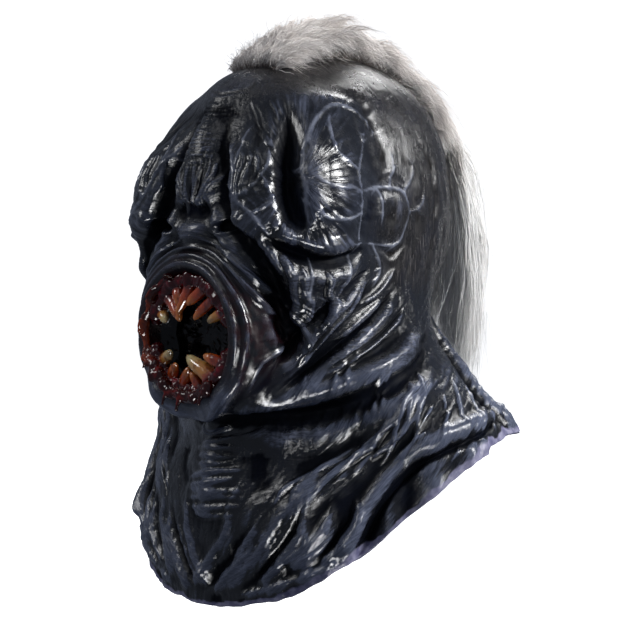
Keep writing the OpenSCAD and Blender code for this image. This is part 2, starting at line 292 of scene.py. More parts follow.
class Shader:
    """Builds one procedural material, a node at a time."""

    def __init__(self, name):
        self.material = bpy.data.materials.new(name)
        self.material.use_nodes = True
        self.tree = self.material.node_tree
        self.surface = self.tree.nodes["Principled BSDF"]
        self.place = self.add("ShaderNodeTexCoord").outputs["Object"]

    def add(self, kind, **settings):
        node = self.tree.nodes.new(kind)
        for key, value in settings.items():
            setattr(node, key, value)
        return node

    def feed(self, socket, value):
        if hasattr(value, "links"):
            self.tree.links.new(value, socket)
        else:
            socket.default_value = value

    def field(self, name, part="Fac"):
        return self.add("ShaderNodeAttribute", attribute_name=name).outputs[part]

    def noise(self, scale, detail=3.0, rough=0.55, at=None, distort=0.0):
        node = self.add("ShaderNodeTexNoise")
        self.feed(node.inputs["Vector"], at if at is not None else self.place)
        for key, value in (("Scale", scale), ("Detail", detail), ("Roughness", rough),
                           ("Distortion", distort)):
            node.inputs[key].default_value = value
        return node.outputs["Fac"]

    def cells(self, scale):
        node = self.add("ShaderNodeTexVoronoi")
        self.feed(node.inputs["Vector"], self.place)
        node.inputs["Scale"].default_value = scale
        return node.outputs["Distance"]

    def stretched(self, vector, scale):
        node = self.add("ShaderNodeVectorMath", operation="MULTIPLY")
        self.feed(node.inputs[0], vector)
        node.inputs[1].default_value = scale
        return node.outputs["Vector"]

    def math(self, operation, a, b=0.0, clamp=False):
        node = self.add("ShaderNodeMath", operation=operation, use_clamp=clamp)
        self.feed(node.inputs[0], a)
        self.feed(node.inputs[1], b)
        return node.outputs[0]

    def times(self, a, b):
        return self.math("MULTIPLY", a, b)

    def plus(self, a, b):
        return self.math("ADD", a, b)

    def step(self, value, low, high, to_low=0.0, to_high=1.0):
        node = self.add("ShaderNodeMapRange", interpolation_type="SMOOTHSTEP")
        for key, entry in zip((0, 1, 2, 3, 4), (value, low, high, to_low, to_high)):
            self.feed(node.inputs[key], entry)
        return node.outputs[0]

    def mix(self, share, first, second):
        node = self.add("ShaderNodeMix", data_type="RGBA")
        self.feed(node.inputs[0], share)
        for socket, value in ((node.inputs[6], first), (node.inputs[7], second)):
            self.feed(socket, value if hasattr(value, "links") else (*value, 1.0))
        return node.outputs[2]

    def bump(self, height, distance, strength=1.0, under=None):
        node = self.add("ShaderNodeBump")
        node.inputs["Strength"].default_value = strength
        node.inputs["Distance"].default_value = distance
        self.feed(node.inputs["Height"], height)
        if under is not None:
            self.feed(node.inputs["Normal"], under)
        return node.outputs["Normal"]

    def set(self, **inputs):
        for key, value in inputs.items():
            socket = self.surface.inputs[key.replace("_", " ")]
            if isinstance(value, tuple) and len(value) == 3:
                value = (*value, 1.0)
            self.feed(socket, value)
        return self


# ---------------------------------------------------------------- the skin's grid
COLUMNS = 640
DOME_ROWS = 120
BODY_ROWS = 335
turn = np.arange(COLUMNS) / COLUMNS * 2 - 1
ANGLES = 180 * (turn - 0.36 * np.sin(np.pi * turn) / np.pi)        # closer together in front
HEM = hem_z(ANGLES) + 2.4 * layered(round_path(ANGLES, 5), 3)        # cut a little unevenly
HEM += 5 * (1 - smooth(4, 26, np.abs(ANGLES))) - 9 * (1 - smooth(42, 76, np.abs(ANGLES)))
quarter = np.radians(90 * (np.arange(DOME_ROWS) + 0.02) / DOME_ROWS)
dome_z = BROW_Z + DOME_H * np.cos(quarter)
body_t = (np.arange(BODY_ROWS) + 1) / BODY_ROWS
Z = np.concatenate([np.repeat(dome_z[:, None], COLUMNS, 1),
                    BROW_Z + (HEM[None, :] - BROW_Z) * body_t[:, None]])
A = np.broadcast_to(ANGLES, Z.shape)
BASE = surface(A, Z)
BASE_NORMAL = normals_of(BASE)
DOWN = np.concatenate([np.zeros(DOME_ROWS), body_t])[:, None] + 0 * A   # 0 at brow, 1 at hem
X, Y = BASE[..., 0], BASE[..., 1]
ROUND = np.abs(A)                                                   # degrees from the front, either side
REACH = np.hypot(X, Y - AXIS_Y)                                     # millimetres from the head's axis
MOUTH_R = np.hypot(X, Z - MOUTH_Z) + 200 * (Y > -60)
MOUTH_TURN = np.degrees(np.arctan2(Z - MOUTH_Z, X))                 # 90 above the mouth


def blob(field, angle, z, wide, high, amount, power=2, both=True):
    """Adds a rounded swelling, wide and high in millimetres, on one side or on both."""
    for side in ((1, -1) if both else (1,)):
        arc = np.radians((A - side * angle + 180) % 360 - 180) * REACH
        field += amount * np.exp(-((arc / wide) ** 2 + ((Z - z) / high) ** 2) ** (power / 2))


# the shapes across a stroke, where s is 0 on its line and 1 at its width to the right
def ridge(s):
    return np.exp(-s ** 2)


def crease(s):
    return 0.3 * np.exp(-(np.abs(s) - 1.9) ** 2) - np.exp(-s ** 2)


def overlap(s):
    """A fold that hangs over: high on its left side, then a sharp drop to its right."""
    return 0.9 * np.exp(-((s + 0.9) / 0.95) ** 2) - 0.75 * np.exp(-((s - 0.5) / 0.42) ** 2)


def stroke(field, points, width, amount, shape=ridge, both=True, taper=(0.25, 0.25), wander=1.2,
           on_base=None):
    """Sculpts along a line of (angle, height) points, or of ready points, tapering at its ends."""
    for side in ((1, -1) if both else (1,)):
        if on_base is None:
            line = smooth_line(points)
            drift = layered(np.c_[line / 22, np.full(len(line), side * width)], 5, 2)
            line = line + wander * drift[:, None] * np.array([0.8, 1.0])
            track = surface(side * line[:, 0], line[:, 1])
        else:
            track = on_base * np.array([side, 1, 1])
        reach = 3.4 * width
        near = np.all((BASE > track.min(0) - reach) & (BASE < track.max(0) + reach), -1)
        if not near.any():
            continue
        q, n = BASE[near], BASE_NORMAL[near]
        best = np.full(len(q), 1e9)
        along, sign = np.zeros(len(q)), np.ones(len(q))
        for k, (start, end) in enumerate(zip(track, track[1:])):
            run = end - start
            u = np.clip(((q - start) @ run) / max(1e-9, run @ run), 0, 1)
            off = q - start - u[:, None] * run
            far = np.linalg.norm(off, axis=1)
            closer = far < best
            best[closer] = far[closer]
            along[closer] = (k + u[closer]) / (len(track) - 1)
            turned = np.einsum("ij,ij->i", np.cross(run, n[closer]), off[closer])
            sign[closer] = np.where(turned * side > 0, 1, -1)
        ends = smooth(0, taper[0] + 1e-6, along) * (1 - smooth(1 - taper[1] - 1e-6, 1, along))
        thin = 0.55 + 0.45 * ends
        field[near] += amount * ends * shape(sign * best / (width * thin)) * (best < reach)


def around_mouth(radius, start, end, points=26):
    """Points on the skin along an arc round the mouth; 0 is its left side and 90 its top."""
    turns = np.radians(np.linspace(start, end, points))
    x, z = radius * np.cos(turns), MOUTH_Z + radius * np.sin(turns)
    tries = np.linspace(-70, 70, 281)
    found = [np.interp(xi, surface(tries, zi)[:, 0], tries) for xi, zi in zip(x, z)]
    return surface(np.array(found), z)


# ---------------------------------------------------------------- sculpting: big forms
big = np.zeros(A.shape)
# brow lobes with a deep hollow in the middle, and the ear-like bump behind them
stroke(big, [(12, 92), (14, 66), (17, 42), (19, 20), (22, 2), (29, -12)], 7, 12, crease, taper=(.5, .2))
stroke(big, [(24, 92), (27, 62), (29, 38), (32, 14), (39, -4)], 11, 6, taper=(.35, .2))
stroke(big, [(40, 104), (42, 76), (43, 46), (45, 18), (47, -4)], 9, 12.5, crease, taper=(.4, .2))
blob(big, 59, 48, 24, 46, 7, 3)
stroke(big, [(54, 116), (70, 104), (80, 82), (82, 56), (78, 36)], 6, 1.3, crease, wander=5)
blob(big, 84, 12, 13, 20, 4, 3)
blob(big, 83, 10, 6, 11, -3.5)
stroke(big, [(72, 34), (84, 40), (96, 28)], 3, 1.4, crease, wander=4, taper=(.5, .5))
stroke(big, [(98, -2), (88, -17), (74, -12)], 3, 1.4, crease, wander=4, taper=(.5, .5))
stroke(big, [(34, 0), (42, -14), (52, -25), (63, -22), (73, -12)], 6.5, 9, crease, taper=(.3, .3))
blob(big, 42, -4, 11, 10, 4)
blob(big, 56, -10, 15, 12, 5)
# bridge, pinch at its root and the hood of the muzzle
blob(big, 0, 62, 17, 34, 3, 3)
stroke(big, [(-19, 25), (-9, 17), (0, 11), (9, 17), (19, 25)], 5.5, 2.6, crease, both=False, wander=4)
for knot_a, knot_z in ((-9, 22), (-3, 17), (4, 19), (10, 24)):
    blob(big, knot_a, knot_z, 4.2, 7, 2.4, 3, both=False)
blob(big, 0, 0, 26, 13, 5, 3)
# groove between the muzzle and the cheeks
stroke(big, [(15, 10), (25, -6), (34, -24), (38, -52), (38, -82), (34, -108)], 8, 9, crease)
stroke(big, [], 6.5, 4, on_base=around_mouth(61, -25, -155))
# cheek pads, diagonal folds and the jaw
blob(big, 54, -52, 20, 24, 4)
stroke(big, [(76, -30), (64, -46), (51, -68), (38, -95), (27, -118)], 6.5, 7, overlap)
stroke(big, [(90, -46), (74, -72), (57, -94), (40, -114), (26, -130)], 6.5, 7, overlap)
stroke(big, [(108, -70), (92, -90), (74, -108), (54, -121), (32, -134), (12, -142)], 8, 6)
stroke(big, [(104, -90), (82, -116), (58, -132), (32, -147), (0, -154)], 9, 8, crease, taper=(.3, .05))
# throat and neck
stroke(big, [(0, -150), (0, -185), (0, -238)], 13, 7, both=False, taper=(.1, .3))
stroke(big, [(11, -158), (14, -190), (17, -224)], 13, 2.8, crease, wander=3, taper=(.5, .4))
stroke(big, [(98, -80), (76, -128), (52, -172), (32, -204), (16, -240)], 13, 6)
# shoulders, nape and back
stroke(big, [(44, -262), (49, -234), (54, -207), (64, -183), (80, -167), (104, -156), (126, -152)],
       7.5, 8, overlap, taper=(.1, .25))
stroke(big, [(52, -246), (64, -222), (78, -200), (92, -182)], 9, 4, taper=(.3, .4))
stroke(big, [(130, -66), (123, -108), (116, -140), (120, -170)], 8, 7, overlap)
stroke(big, [(152, -96), (148, -128), (153, -182)], 9, 5)
stroke(big, [(172, -84), (169, -132), (175, -186)], 8, 4.5)
stroke(big, [(128, -70), (152, -77), (180, -79)], 6, 5, crease, taper=(.3, 0))
stroke(big, [(132, -92), (156, -98), (180, -101)], 6, 4, crease, taper=(.3, 0))
blob(big, 128, -172, 30, 12, 5)
# wide swellings: flatter lobes, a fuller temple above them and flatter sides of the chest
blob(big, 42, 44, 46, 56, -6, 3)
blob(big, 48, 97, 38, 27, 7.5, 2)
blob(big, 50, -200, 62, 56, -7, 4)
big += 1.6 * layered(BASE / 60, 2, 2) * window(Z, -400, 60, 40)
for turn_back in (98, 112, 126, 141, 156, 171):
    down_skull = [(turn_back + a, z) for a, z in ((-8, 104), (-2, 66), (2, 20), (0, -34), (4, -72))]
    stroke(big, down_skull, rng.uniform(6, 10), rng.uniform(0.4, 0.9), overlap, wander=5, taper=(.5, .4))
for back_z in (64, 30, -6, -40):
    across_back = [(150, back_z - 6), (163, back_z), (176, back_z + 1), (190, back_z), (210, back_z - 6)]
    stroke(big, across_back, 5, 1.6, crease, both=False, wander=4, taper=(.5, .5))

# chest pleats that run together at the flap's tip
PLEATS = [[(9, -212), (6, -250), (-3, -290)], [(17, -220), (12, -256), (2, -292)],
          [(24, -212), (20, -250), (9, -289)], [(31, -206), (28, -243), (18, -280)],
          [(38, -202), (36, -236), (28, -268)], [(45, -202), (44, -230), (37, -258)]]
for k, line in enumerate(PLEATS):
    wide, high = rng.uniform(4.4, 6.2), rng.uniform(3.6, 5.6)
    stroke(big, line, wide, high, overlap if k % 2 else ridge, wander=2.5, taper=(.5, .12))
    beside = np.array(line) + [[2.6, -14], [3.0, -4], [2.2, 2]]
    stroke(big, beside, 0.42 * wide, 0.42 * high, wander=2.5, taper=(.5, .2))
stroke(big, [(47, -250), (36, -266), (22, -283), (8, -293)], 3.6, 3.4, taper=(.3, .3), wander=2)
for turn_back in range(124, 182, 9):
    stroke(big, [(turn_back + 3, -128), (turn_back, -152), (turn_back - 2, -184)], 5, 3.2, wander=3)
fanned = np.radians(ROUND) * 110 - 0.38 * (Z + 240) * np.minimum(1, ROUND / 20)
CHEST_FLOW = np.stack([fanned, 0.8 * Z, 0 * Z], -1)


def lines(flow, scale, seed, wobble=1.6):
    """Sharp wrinkles in a flow, drawn out along the axis with the largest scale."""
    drift = wobble * noise(BASE / 16, seed + 40)[..., None]
    return 1 - 2 * np.abs(noise((flow + drift) / np.array(scale), seed))


low_chest = smooth(-165, -205, Z) * (1 - smooth(50, 78, ROUND))
big += 1.1 * low_chest * lines(CHEST_FLOW, (17, 95, 99), 31, 5)
big += 5 * layered(round_path(A, 4), 9) * smooth(0.78, 1.0, DOWN)       # the hem waves in and out
big *= 1 - 0.9 * smooth(100, 130, Z)
blob(big, 0, 116, 50, 17, 6, 3, both=False)
big *= smooth(50, 58, MOUTH_R)
FORM = BASE + BASE_NORMAL * big[..., None]
FORM_NORMAL = normals_of(FORM)

# ---------------------------------------------------------------- sculpting: folds and veins
# rings round the mouth, throat ribs, wrinkles of the brow and bridge, cheek and neck folds
folds = np.zeros(A.shape)
for k, (radius, start, end, size) in enumerate(
        [(57, 130, -60, 2.2), (63, 118, -72, 2.9), (69.5, 108, -64, 2.6), (77, 92, -40, 2.4)]):
    stroke(folds, [], 2.5, size, on_base=around_mouth(radius, start, end), taper=(.2, .35))
for z0 in np.arange(-158, -236, -6.6):
    left, right, slant = rng.uniform(5, 9), rng.uniform(8, 14), rng.uniform(-1, 5)
    stroke(folds, [(-left, z0 - slant), (0, z0 + rng.normal(0, 1)), (right, z0 + slant + 2)],
           rng.uniform(2.4, 3.2), rng.uniform(2.4, 3.4), both=False, taper=(.3, .45), wander=2)
for z0 in np.arange(108, 50, -3.4):
    left, right = rng.uniform(6, 21, 2)
    across_brow = [(-left, z0 + 3), (-left / 2, z0 + rng.normal(0, .8)), (0, z0 - 1), (right / 2, z0),
                   (right, z0 + 3 + rng.normal(0, 1))]
    stroke(folds, across_brow, rng.uniform(0.8, 1.5), rng.uniform(0.5, 1.3), crease, both=False, wander=2,
           taper=(.35, .35))
for a0, lean in ((1, 0.6), (3, 1.0), (5.2, 1.8), (7.4, 2.4), (9.8, 3.4), (12.4, 5)):
    stroke(folds, [(a0 + lean, 66), (a0 + lean / 2, 46), (a0 * 0.8, 31), (a0 * 0.55, 20)],
           rng.uniform(1.1, 1.8), rng.uniform(1.6, 2.8), taper=(.5, .1), wander=2.6)
for a0 in (22, 25, 27.5, 30, 33, 36):
    stroke(folds, [(a0 - 1, 88), (a0 - 2, 58), (a0, 32), (a0 + 5, 6)], rng.uniform(1, 1.7),
           rng.uniform(0.7, 1.5), wander=4, taper=(.45, .45))
CHEEK = [[(38, -16), (43, -44), (41, -78)], [(46, -26), (49, -54), (44, -88)],
         [(54, -30), (56, -52), (49, -84)], [(64, -30), (58, -56), (48, -84), (38, -104)],
         [(72, -38), (62, -62), (48, -90), (36, -110)], [(84, -50), (70, -70), (54, -90)],
         [(96, -58), (82, -78), (64, -98), (46, -114)], [(88, -30), (80, -48), (68, -60)]]
for k, line in enumerate(CHEEK):
    stroke(folds, line, 2.7, 2.8, ridge if k % 2 else overlap, wander=2.5)
for k in range(15):
    a0, z0 = 62 + 5.4 * k + rng.normal(0, 1.5), -96 - 3.4 * k + rng.normal(0, 5)
    stroke(folds, [(a0, z0), (a0 - 9, z0 - 20), (a0 - 17, z0 - 38)], 2.0, 1.5, wander=3)
for k in range(8):
    a0, z0 = 19 + 6.5 * k, -226 + 8 * k + 5 * math.sin(2.3 * k)
    stroke(folds, [(a0, z0), (a0 + 6, z0 + 20), (a0 + 15, z0 + 37), (a0 + 27, z0 + 50)],
           2.7 + 0.5 * math.sin(1.7 * k), 2.6, ridge if k % 2 else overlap, wander=3, taper=(.4, .4))
for k in range(7):
    a0, z0 = 26 + 8 * k, -206 + 7 * k + 5 * math.sin(2.9 * k)
    stroke(folds, [(a0, z0), (a0 + 8, z0 + 16), (a0 + 18, z0 + 28)], 1.6, 1.8, wander=3)

veins = np.zeros(A.shape)
VEINS = [[(50, -4), (49, 20), (48, 46), (50, 72), (56, 92), (66, 97), (75, 88), (81, 72)],
         [(66, -8), (67, 10), (68, 28), (66, 46), (69, 64), (75, 88)],
         [(68, 28), (75, 34), (82, 36), (90, 30), (94, 16), (93, 0), (86, -12), (76, -14), (66, -8)],
         [(68, 28), (61, 34), (55, 34), (48, 46)], [(66, 46), (60, 56), (57, 70), (56, 92)],
         [(67, 10), (60, 8), (54, 12), (49, 20)], [(94, 16), (100, 20), (106, 32)],
         [(90, 30), (96, 42), (97, 56)], [(82, 36), (86, 50), (85, 64)], [(75, 34), (80, 20), (79, 4)],
         [(38, -2), (32, 12), (27, 28), (24, 50), (25, 72), (29, 90)],
         [(27, 28), (32, 37), (35, 50), (36, 66)],
         [(32, 12), (37, 19), (39, 30)], [(24, 50), (20, 58), (17, 72)], [(50, -24), (50, -44), (46, -64)],
         [(66, -8), (64, -26), (60, -46), (52, -60)], [(76, -14), (80, -30), (76, -46)]]
for side in (1, -1):
    shifted = {}
    for line in VEINS:
        for spot in line:
            if spot not in shifted:
                shifted[spot] = np.array([side, 1]) * (np.array(spot) + rng.normal(0, (0.8, 2.2)))
        track = np.array([shifted[spot] for spot in line])
        stroke(veins, track, 1.25, 1.1, both=False, wander=0.5, taper=(.02, .25))
        for _ in range(len(line)):
            k = rng.integers(0, len(track) - 1)
            share = rng.random()
            root, run = track[k] * (1 - share) + track[k + 1] * share, track[k + 1] - track[k]
            lean = math.radians(rng.choice([-1, 1]) * rng.uniform(22, 48))
            turned = np.array([run[0] * math.cos(lean) - run[1] * math.sin(lean) / 1.95,
                               run[0] * math.sin(lean) * 1.95 + run[1] * math.cos(lean)])
            turned *= rng.uniform(6, 15) / math.hypot(turned[0] * 1.95, turned[1])
            bend = 0.25 * rng.normal() * np.array([-turned[1] / 1.95, turned[0] * 1.95])
            stroke(veins, [root, root + 0.5 * turned + bend, root + turned], 0.95, 0.8, both=False,
                   wander=0, taper=(.02, .9))
veins = np.clip(veins, 0, 1.3)
glow = np.clip(2.2 * spread_out(veins, 4), 0, 1)

# ---------------------------------------------------------------- sculpting: fine wrinkles
ARC = np.radians(ROUND) * REACH
POLAR = np.stack([MOUTH_R, X, Z], -1)
DIAGONAL = np.stack([0.62 * ARC - 0.78 * Z, 0.78 * ARC + 0.62 * Z, 0 * Z], -1)


lobe_arc, lobe_z = np.radians(ROUND - 47) * REACH, 0.7 * (Z - 40)
lobe_r = np.hypot(lobe_arc, lobe_z)
SPOKES = np.stack([24 * lobe_arc / np.maximum(4, lobe_r), 24 * lobe_z / np.maximum(4, lobe_r), lobe_r], -1)
near_mouth = smooth(54, 60, MOUTH_R) * (1 - smooth(82, 100, MOUTH_R))
skull = np.clip(smooth(70, 88, ROUND) * smooth(-60, -30, Z) + smooth(96, 116, Z), 0, 1)
neck = smooth(-100, -125, Z) * smooth(24, 42, ROUND) * (1 - skull)
chest = smooth(-175, -205, Z) * (1 - smooth(36, 50, ROUND))
face = np.clip(1 - skull - neck - near_mouth, 0, 1)
lobes = window(ROUND, 25, 78, 8) * window(Z, -10, 96, 14)
fine = 0.75 * near_mouth * lines(POLAR, (3.2, 40, 40), 1)
fine += (1 - 0.7 * lobes) * face * (0.34 * lines(BASE, (3.4, 3.4, 26), 2)
                                    + 0.2 * lines(DIAGONAL, (2.8, 15, 99), 3))
fine += 0.34 * neck * lines(DIAGONAL, (3.4, 26, 99), 4) + 0.55 * chest * lines(CHEST_FLOW, (3.0, 42, 99), 5)
fine += 0.3 * skull * lines(BASE, (2.4, 2.4, 46), 6) + 0.3 * skull * lines(BASE, (7, 7, 60), 16, 3)
fine += 0.8 * lobes * lines(SPOKES, (2.7, 2.7, 30), 8, 0.8)
middle_fold = lines(DIAGONAL, (11, 62, 99), 9, 4) * np.clip(neck + 0.7 * face * smooth(-20, -60, Z), 0, 1)
fine += 1.0 * middle_fold * (1 - 0.7 * low_chest)
fine += 0.12 * layered(BASE / 5, 7, 2)
detail = folds + 0.9 * veins + 0.8 * fine
detail *= (1 - 0.95 * smooth(112, 130, Z)) * smooth(51, 57, MOUTH_R)
SKIN = FORM + FORM_NORMAL * detail[..., None]

# ---------------------------------------------------------------- mouth, vision openings, inside
LIP_R = 54.0 + 1.6 * noise(round_path(MOUTH_TURN, 2), 12)
inward = np.clip((LIP_R - MOUTH_R) / 14, 0, 1.4)                    # 0 at the lip's edge
rolled = np.clip(inward / 0.35, 0, 1) * np.pi / 2
lip_radius = LIP_R - 4 * np.sin(rolled) - 1.5 * np.clip((inward - 0.35) / 0.65, 0, 1.5)
lip_depth = 4 * (1 - np.cos(rolled)) + 15 * np.clip((inward - 0.35) / 0.65, 0, 1.5)
inside_lip = inward > 0
pull = np.where(inside_lip, lip_radius / np.maximum(1, MOUTH_R), 1)
SKIN[..., 0] = np.where(inside_lip, SKIN[..., 0] * pull, SKIN[..., 0])
SKIN[..., 2] = np.where(inside_lip, MOUTH_Z + (SKIN[..., 2] - MOUTH_Z) * pull, SKIN[..., 2])
SKIN[..., 1] += np.where(inside_lip, lip_depth, 0)

EYE_ANGLE, EYE_Z, EYE_LONG, EYE_HIGH = 19.5, 4.0, 12.5, 4.2
eye_arc = np.radians(ROUND - EYE_ANGLE) * REACH
eye = np.hypot(eye_arc / EYE_LONG, (Z - EYE_Z - 0.12 * eye_arc) / EYE_HIGH)
lid = 1.6 * np.exp(-((eye - 1.45) / 0.4) ** 2) - 6 * (1 - smooth(0.5, 1.25, eye))
SKIN += FORM_NORMAL * (lid * (ROUND < 60))[..., None]
HOLE = (inward > 1.0) | ((eye < 0.62) & (ROUND < 60))
RIM_ROWS = 3                                                        # rows that round off the hem's edge

WALL = 2.6
sunk = spread_out(lowest_near(big, 8), 5) - WALL - 1.4
LINING = BASE + BASE_NORMAL * sunk[..., None]
LINING[..., 1] += 15 * smooth(66, 54, MOUTH_R)
lining_rows = np.concatenate([np.arange(len(Z) - 1, DOME_ROWS, -6), np.arange(DOME_ROWS, 0, -12), [0]])
EDGE = FORM_NORMAL[-1] * 0.4
hem_ring = [SKIN[-1] + EDGE - [0, 0, 0.8], SKIN[-1] - FORM_NORMAL[-1] * WALL / 2 - [0, 0, 1.4],
            SKIN[-1] - FORM_NORMAL[-1] * WALL - [0, 0, 0.4]]
grid = np.concatenate([SKIN, np.array(hem_ring), LINING[lining_rows]])
inner_hole = (MOUTH_R < 53) | ((eye < 0.9) & (ROUND < 60))
holes = np.concatenate([HOLE, np.zeros((RIM_ROWS, COLUMNS), bool), inner_hole[lining_rows]])
relief = big + detail
sharp = detail - spread_out(detail, 3)
mid = relief - spread_out(relief, 7)
wide = relief - spread_out(relief, 16)
# the neck and chest take more of the wide relief: their ridges are brighter as dry brushing and as a painted
# sheen
lit = np.clip(0.5 * sharp + 0.22 * mid + (0.09 + 0.24 * chest + 0.07 * neck) * wide, -1, 1.5)
cavity = smooth(-0.5, -3.2, wide) + 0.6 * smooth(-0.3, -1.2, mid)
cavity *= 1 - 0.4 * np.clip(chest + neck, 0, 1)
below = (MOUTH_Z - Z) / np.maximum(1, MOUTH_R)                       # 1 straight below the mouth
# a band under the mouth whose paint is a painted highlight on the lower lip's front
lip_highlight_band = np.exp(-((MOUTH_R - 59) / 6) ** 2) * smooth(0.1, 0.8, below)


def with_edges(field, edge=0.0, inner=0.0):
    """The field over the whole grid, with values for the hem's edge and the inside."""
    rim, lining = np.full((RIM_ROWS, COLUMNS), edge), np.full((len(lining_rows), COLUMNS), inner)
    return np.concatenate([field, rim, lining])


def flow_field(flow):
    """A wrinkle flow over the whole grid, in metres."""
    return np.concatenate([flow, np.repeat(flow[-1:], RIM_ROWS, 0), flow[lining_rows]]) * MM


beside = smooth(0.85, 0.35, np.abs(below)) + 0.5 * smooth(0.2, 0.9, -below)
blood = smooth(53.5, 50, MOUTH_R) + 0.9 * np.exp(-((MOUTH_R - 60) / 9) ** 2) * beside
hem_patches = smooth(-0.35, 0.75, noise(np.stack([A / 11, 0 * A, np.sign(A)], -1), 22))
hem_wide = 2.4 + 9 * smooth(14, 40, ROUND) * (1 - smooth(104, 128, ROUND)) * hem_patches
hem_band = smooth(1.2, 0.8, (Z - HEM[None, :] + 2.2 * layered(BASE / 13, 21, 3)) / hem_wide)
fields = {
    "lit": with_edges(lit), "vein": with_edges(veins), "glow": with_edges(glow), "skull": with_edges(skull),
    "blood": with_edges(np.clip(blood, 0, 1)), "raw": with_edges(hem_band, 1.0, 1.0),
    "lower_lip_highlight": with_edges(lip_highlight_band), "cavity": with_edges(np.clip(cavity, 0, 1)),
    "mouthness": with_edges(near_mouth), "side": with_edges(np.clip(neck + 0.6 * chest, 0, 1)),
    "lobes": with_edges(lobes * face),
    "rings": flow_field(POLAR), "spokes": flow_field(SPOKES), "diagonal": flow_field(DIAGONAL),
}
faces = grid_faces(len(grid), COLUMNS)
keep = ~holes.ravel()[faces].any(1)
flat_fields = {key: field.reshape(-1, *field.shape[2:]) for key, field in fields.items()}


# paint colours of the skin; the skull's pale streaks are partly painted thin highlights
LATEX_BLACK, SKULL_BLACK = (0.0032, 0.0038, 0.0062), (0.0075, 0.0062, 0.0056)
BLUE_BLACK = (0.008, 0.011, 0.024)
# VEIL_AND_SHEEN_BLUE is the blue veil of paint on the neck and chest, and a painted sheen as well
SKULL_STREAK_AND_HIGHLIGHT, VEIL_AND_SHEEN_BLUE, RIDGE_BLUE = (0.12, 0.11, 0.107), (0.088, 0.106, 0.162), (0.178, 0.20, 0.282)
VEIN_MIST, VEIN_BLUE, DRIED_BLOOD = (0.12, 0.138, 0.195), (0.18, 0.195, 0.245), (0.022, 0.002, 0.0025)
BARE_DARK, BARE_LIGHT = (0.12, 0.118, 0.21), (0.30, 0.29, 0.41)


def brush_streaks(s, side, skull):
    """Fine streaks that follow the wrinkles' flow in each region of the skin, about -0.3 to 0.3."""
    round_mouth, lobes = s.field("mouthness"), s.field("lobes")
    upright = s.noise(190, 4, 0.62, s.stretched(s.place, (6, 6, 0.28)), 0.3)
    crossing = s.noise(170, 4, 0.62, s.stretched(s.place, (0.9, 0.9, 4.5)), 0.5)
    rings = s.noise(180, 4, 0.6, s.stretched(s.field("rings", "Vector"), (4.5, 0.4, 0.4)), 0.25)
    slanted = s.noise(180, 4, 0.6, s.stretched(s.field("diagonal", "Vector"), (4.5, 0.5, 1)), 0.3)
    spoked = s.noise(170, 4, 0.6, s.stretched(s.field("spokes", "Vector"), (4, 4, 0.5)), 0.3)
    plain = s.math("SUBTRACT", 1.0, s.plus(round_mouth, s.plus(side, skull)), clamp=True)
    plain = s.math("SUBTRACT", plain, lobes, clamp=True)
    streaks = s.times(s.math("SUBTRACT", upright, 0.5), skull)
    for value, share in ((rings, round_mouth), (slanted, side), (crossing, plain), (spoked, lobes)):
        streaks = s.plus(streaks, s.times(s.math("SUBTRACT", value, 0.5), share))
    return streaks, upright


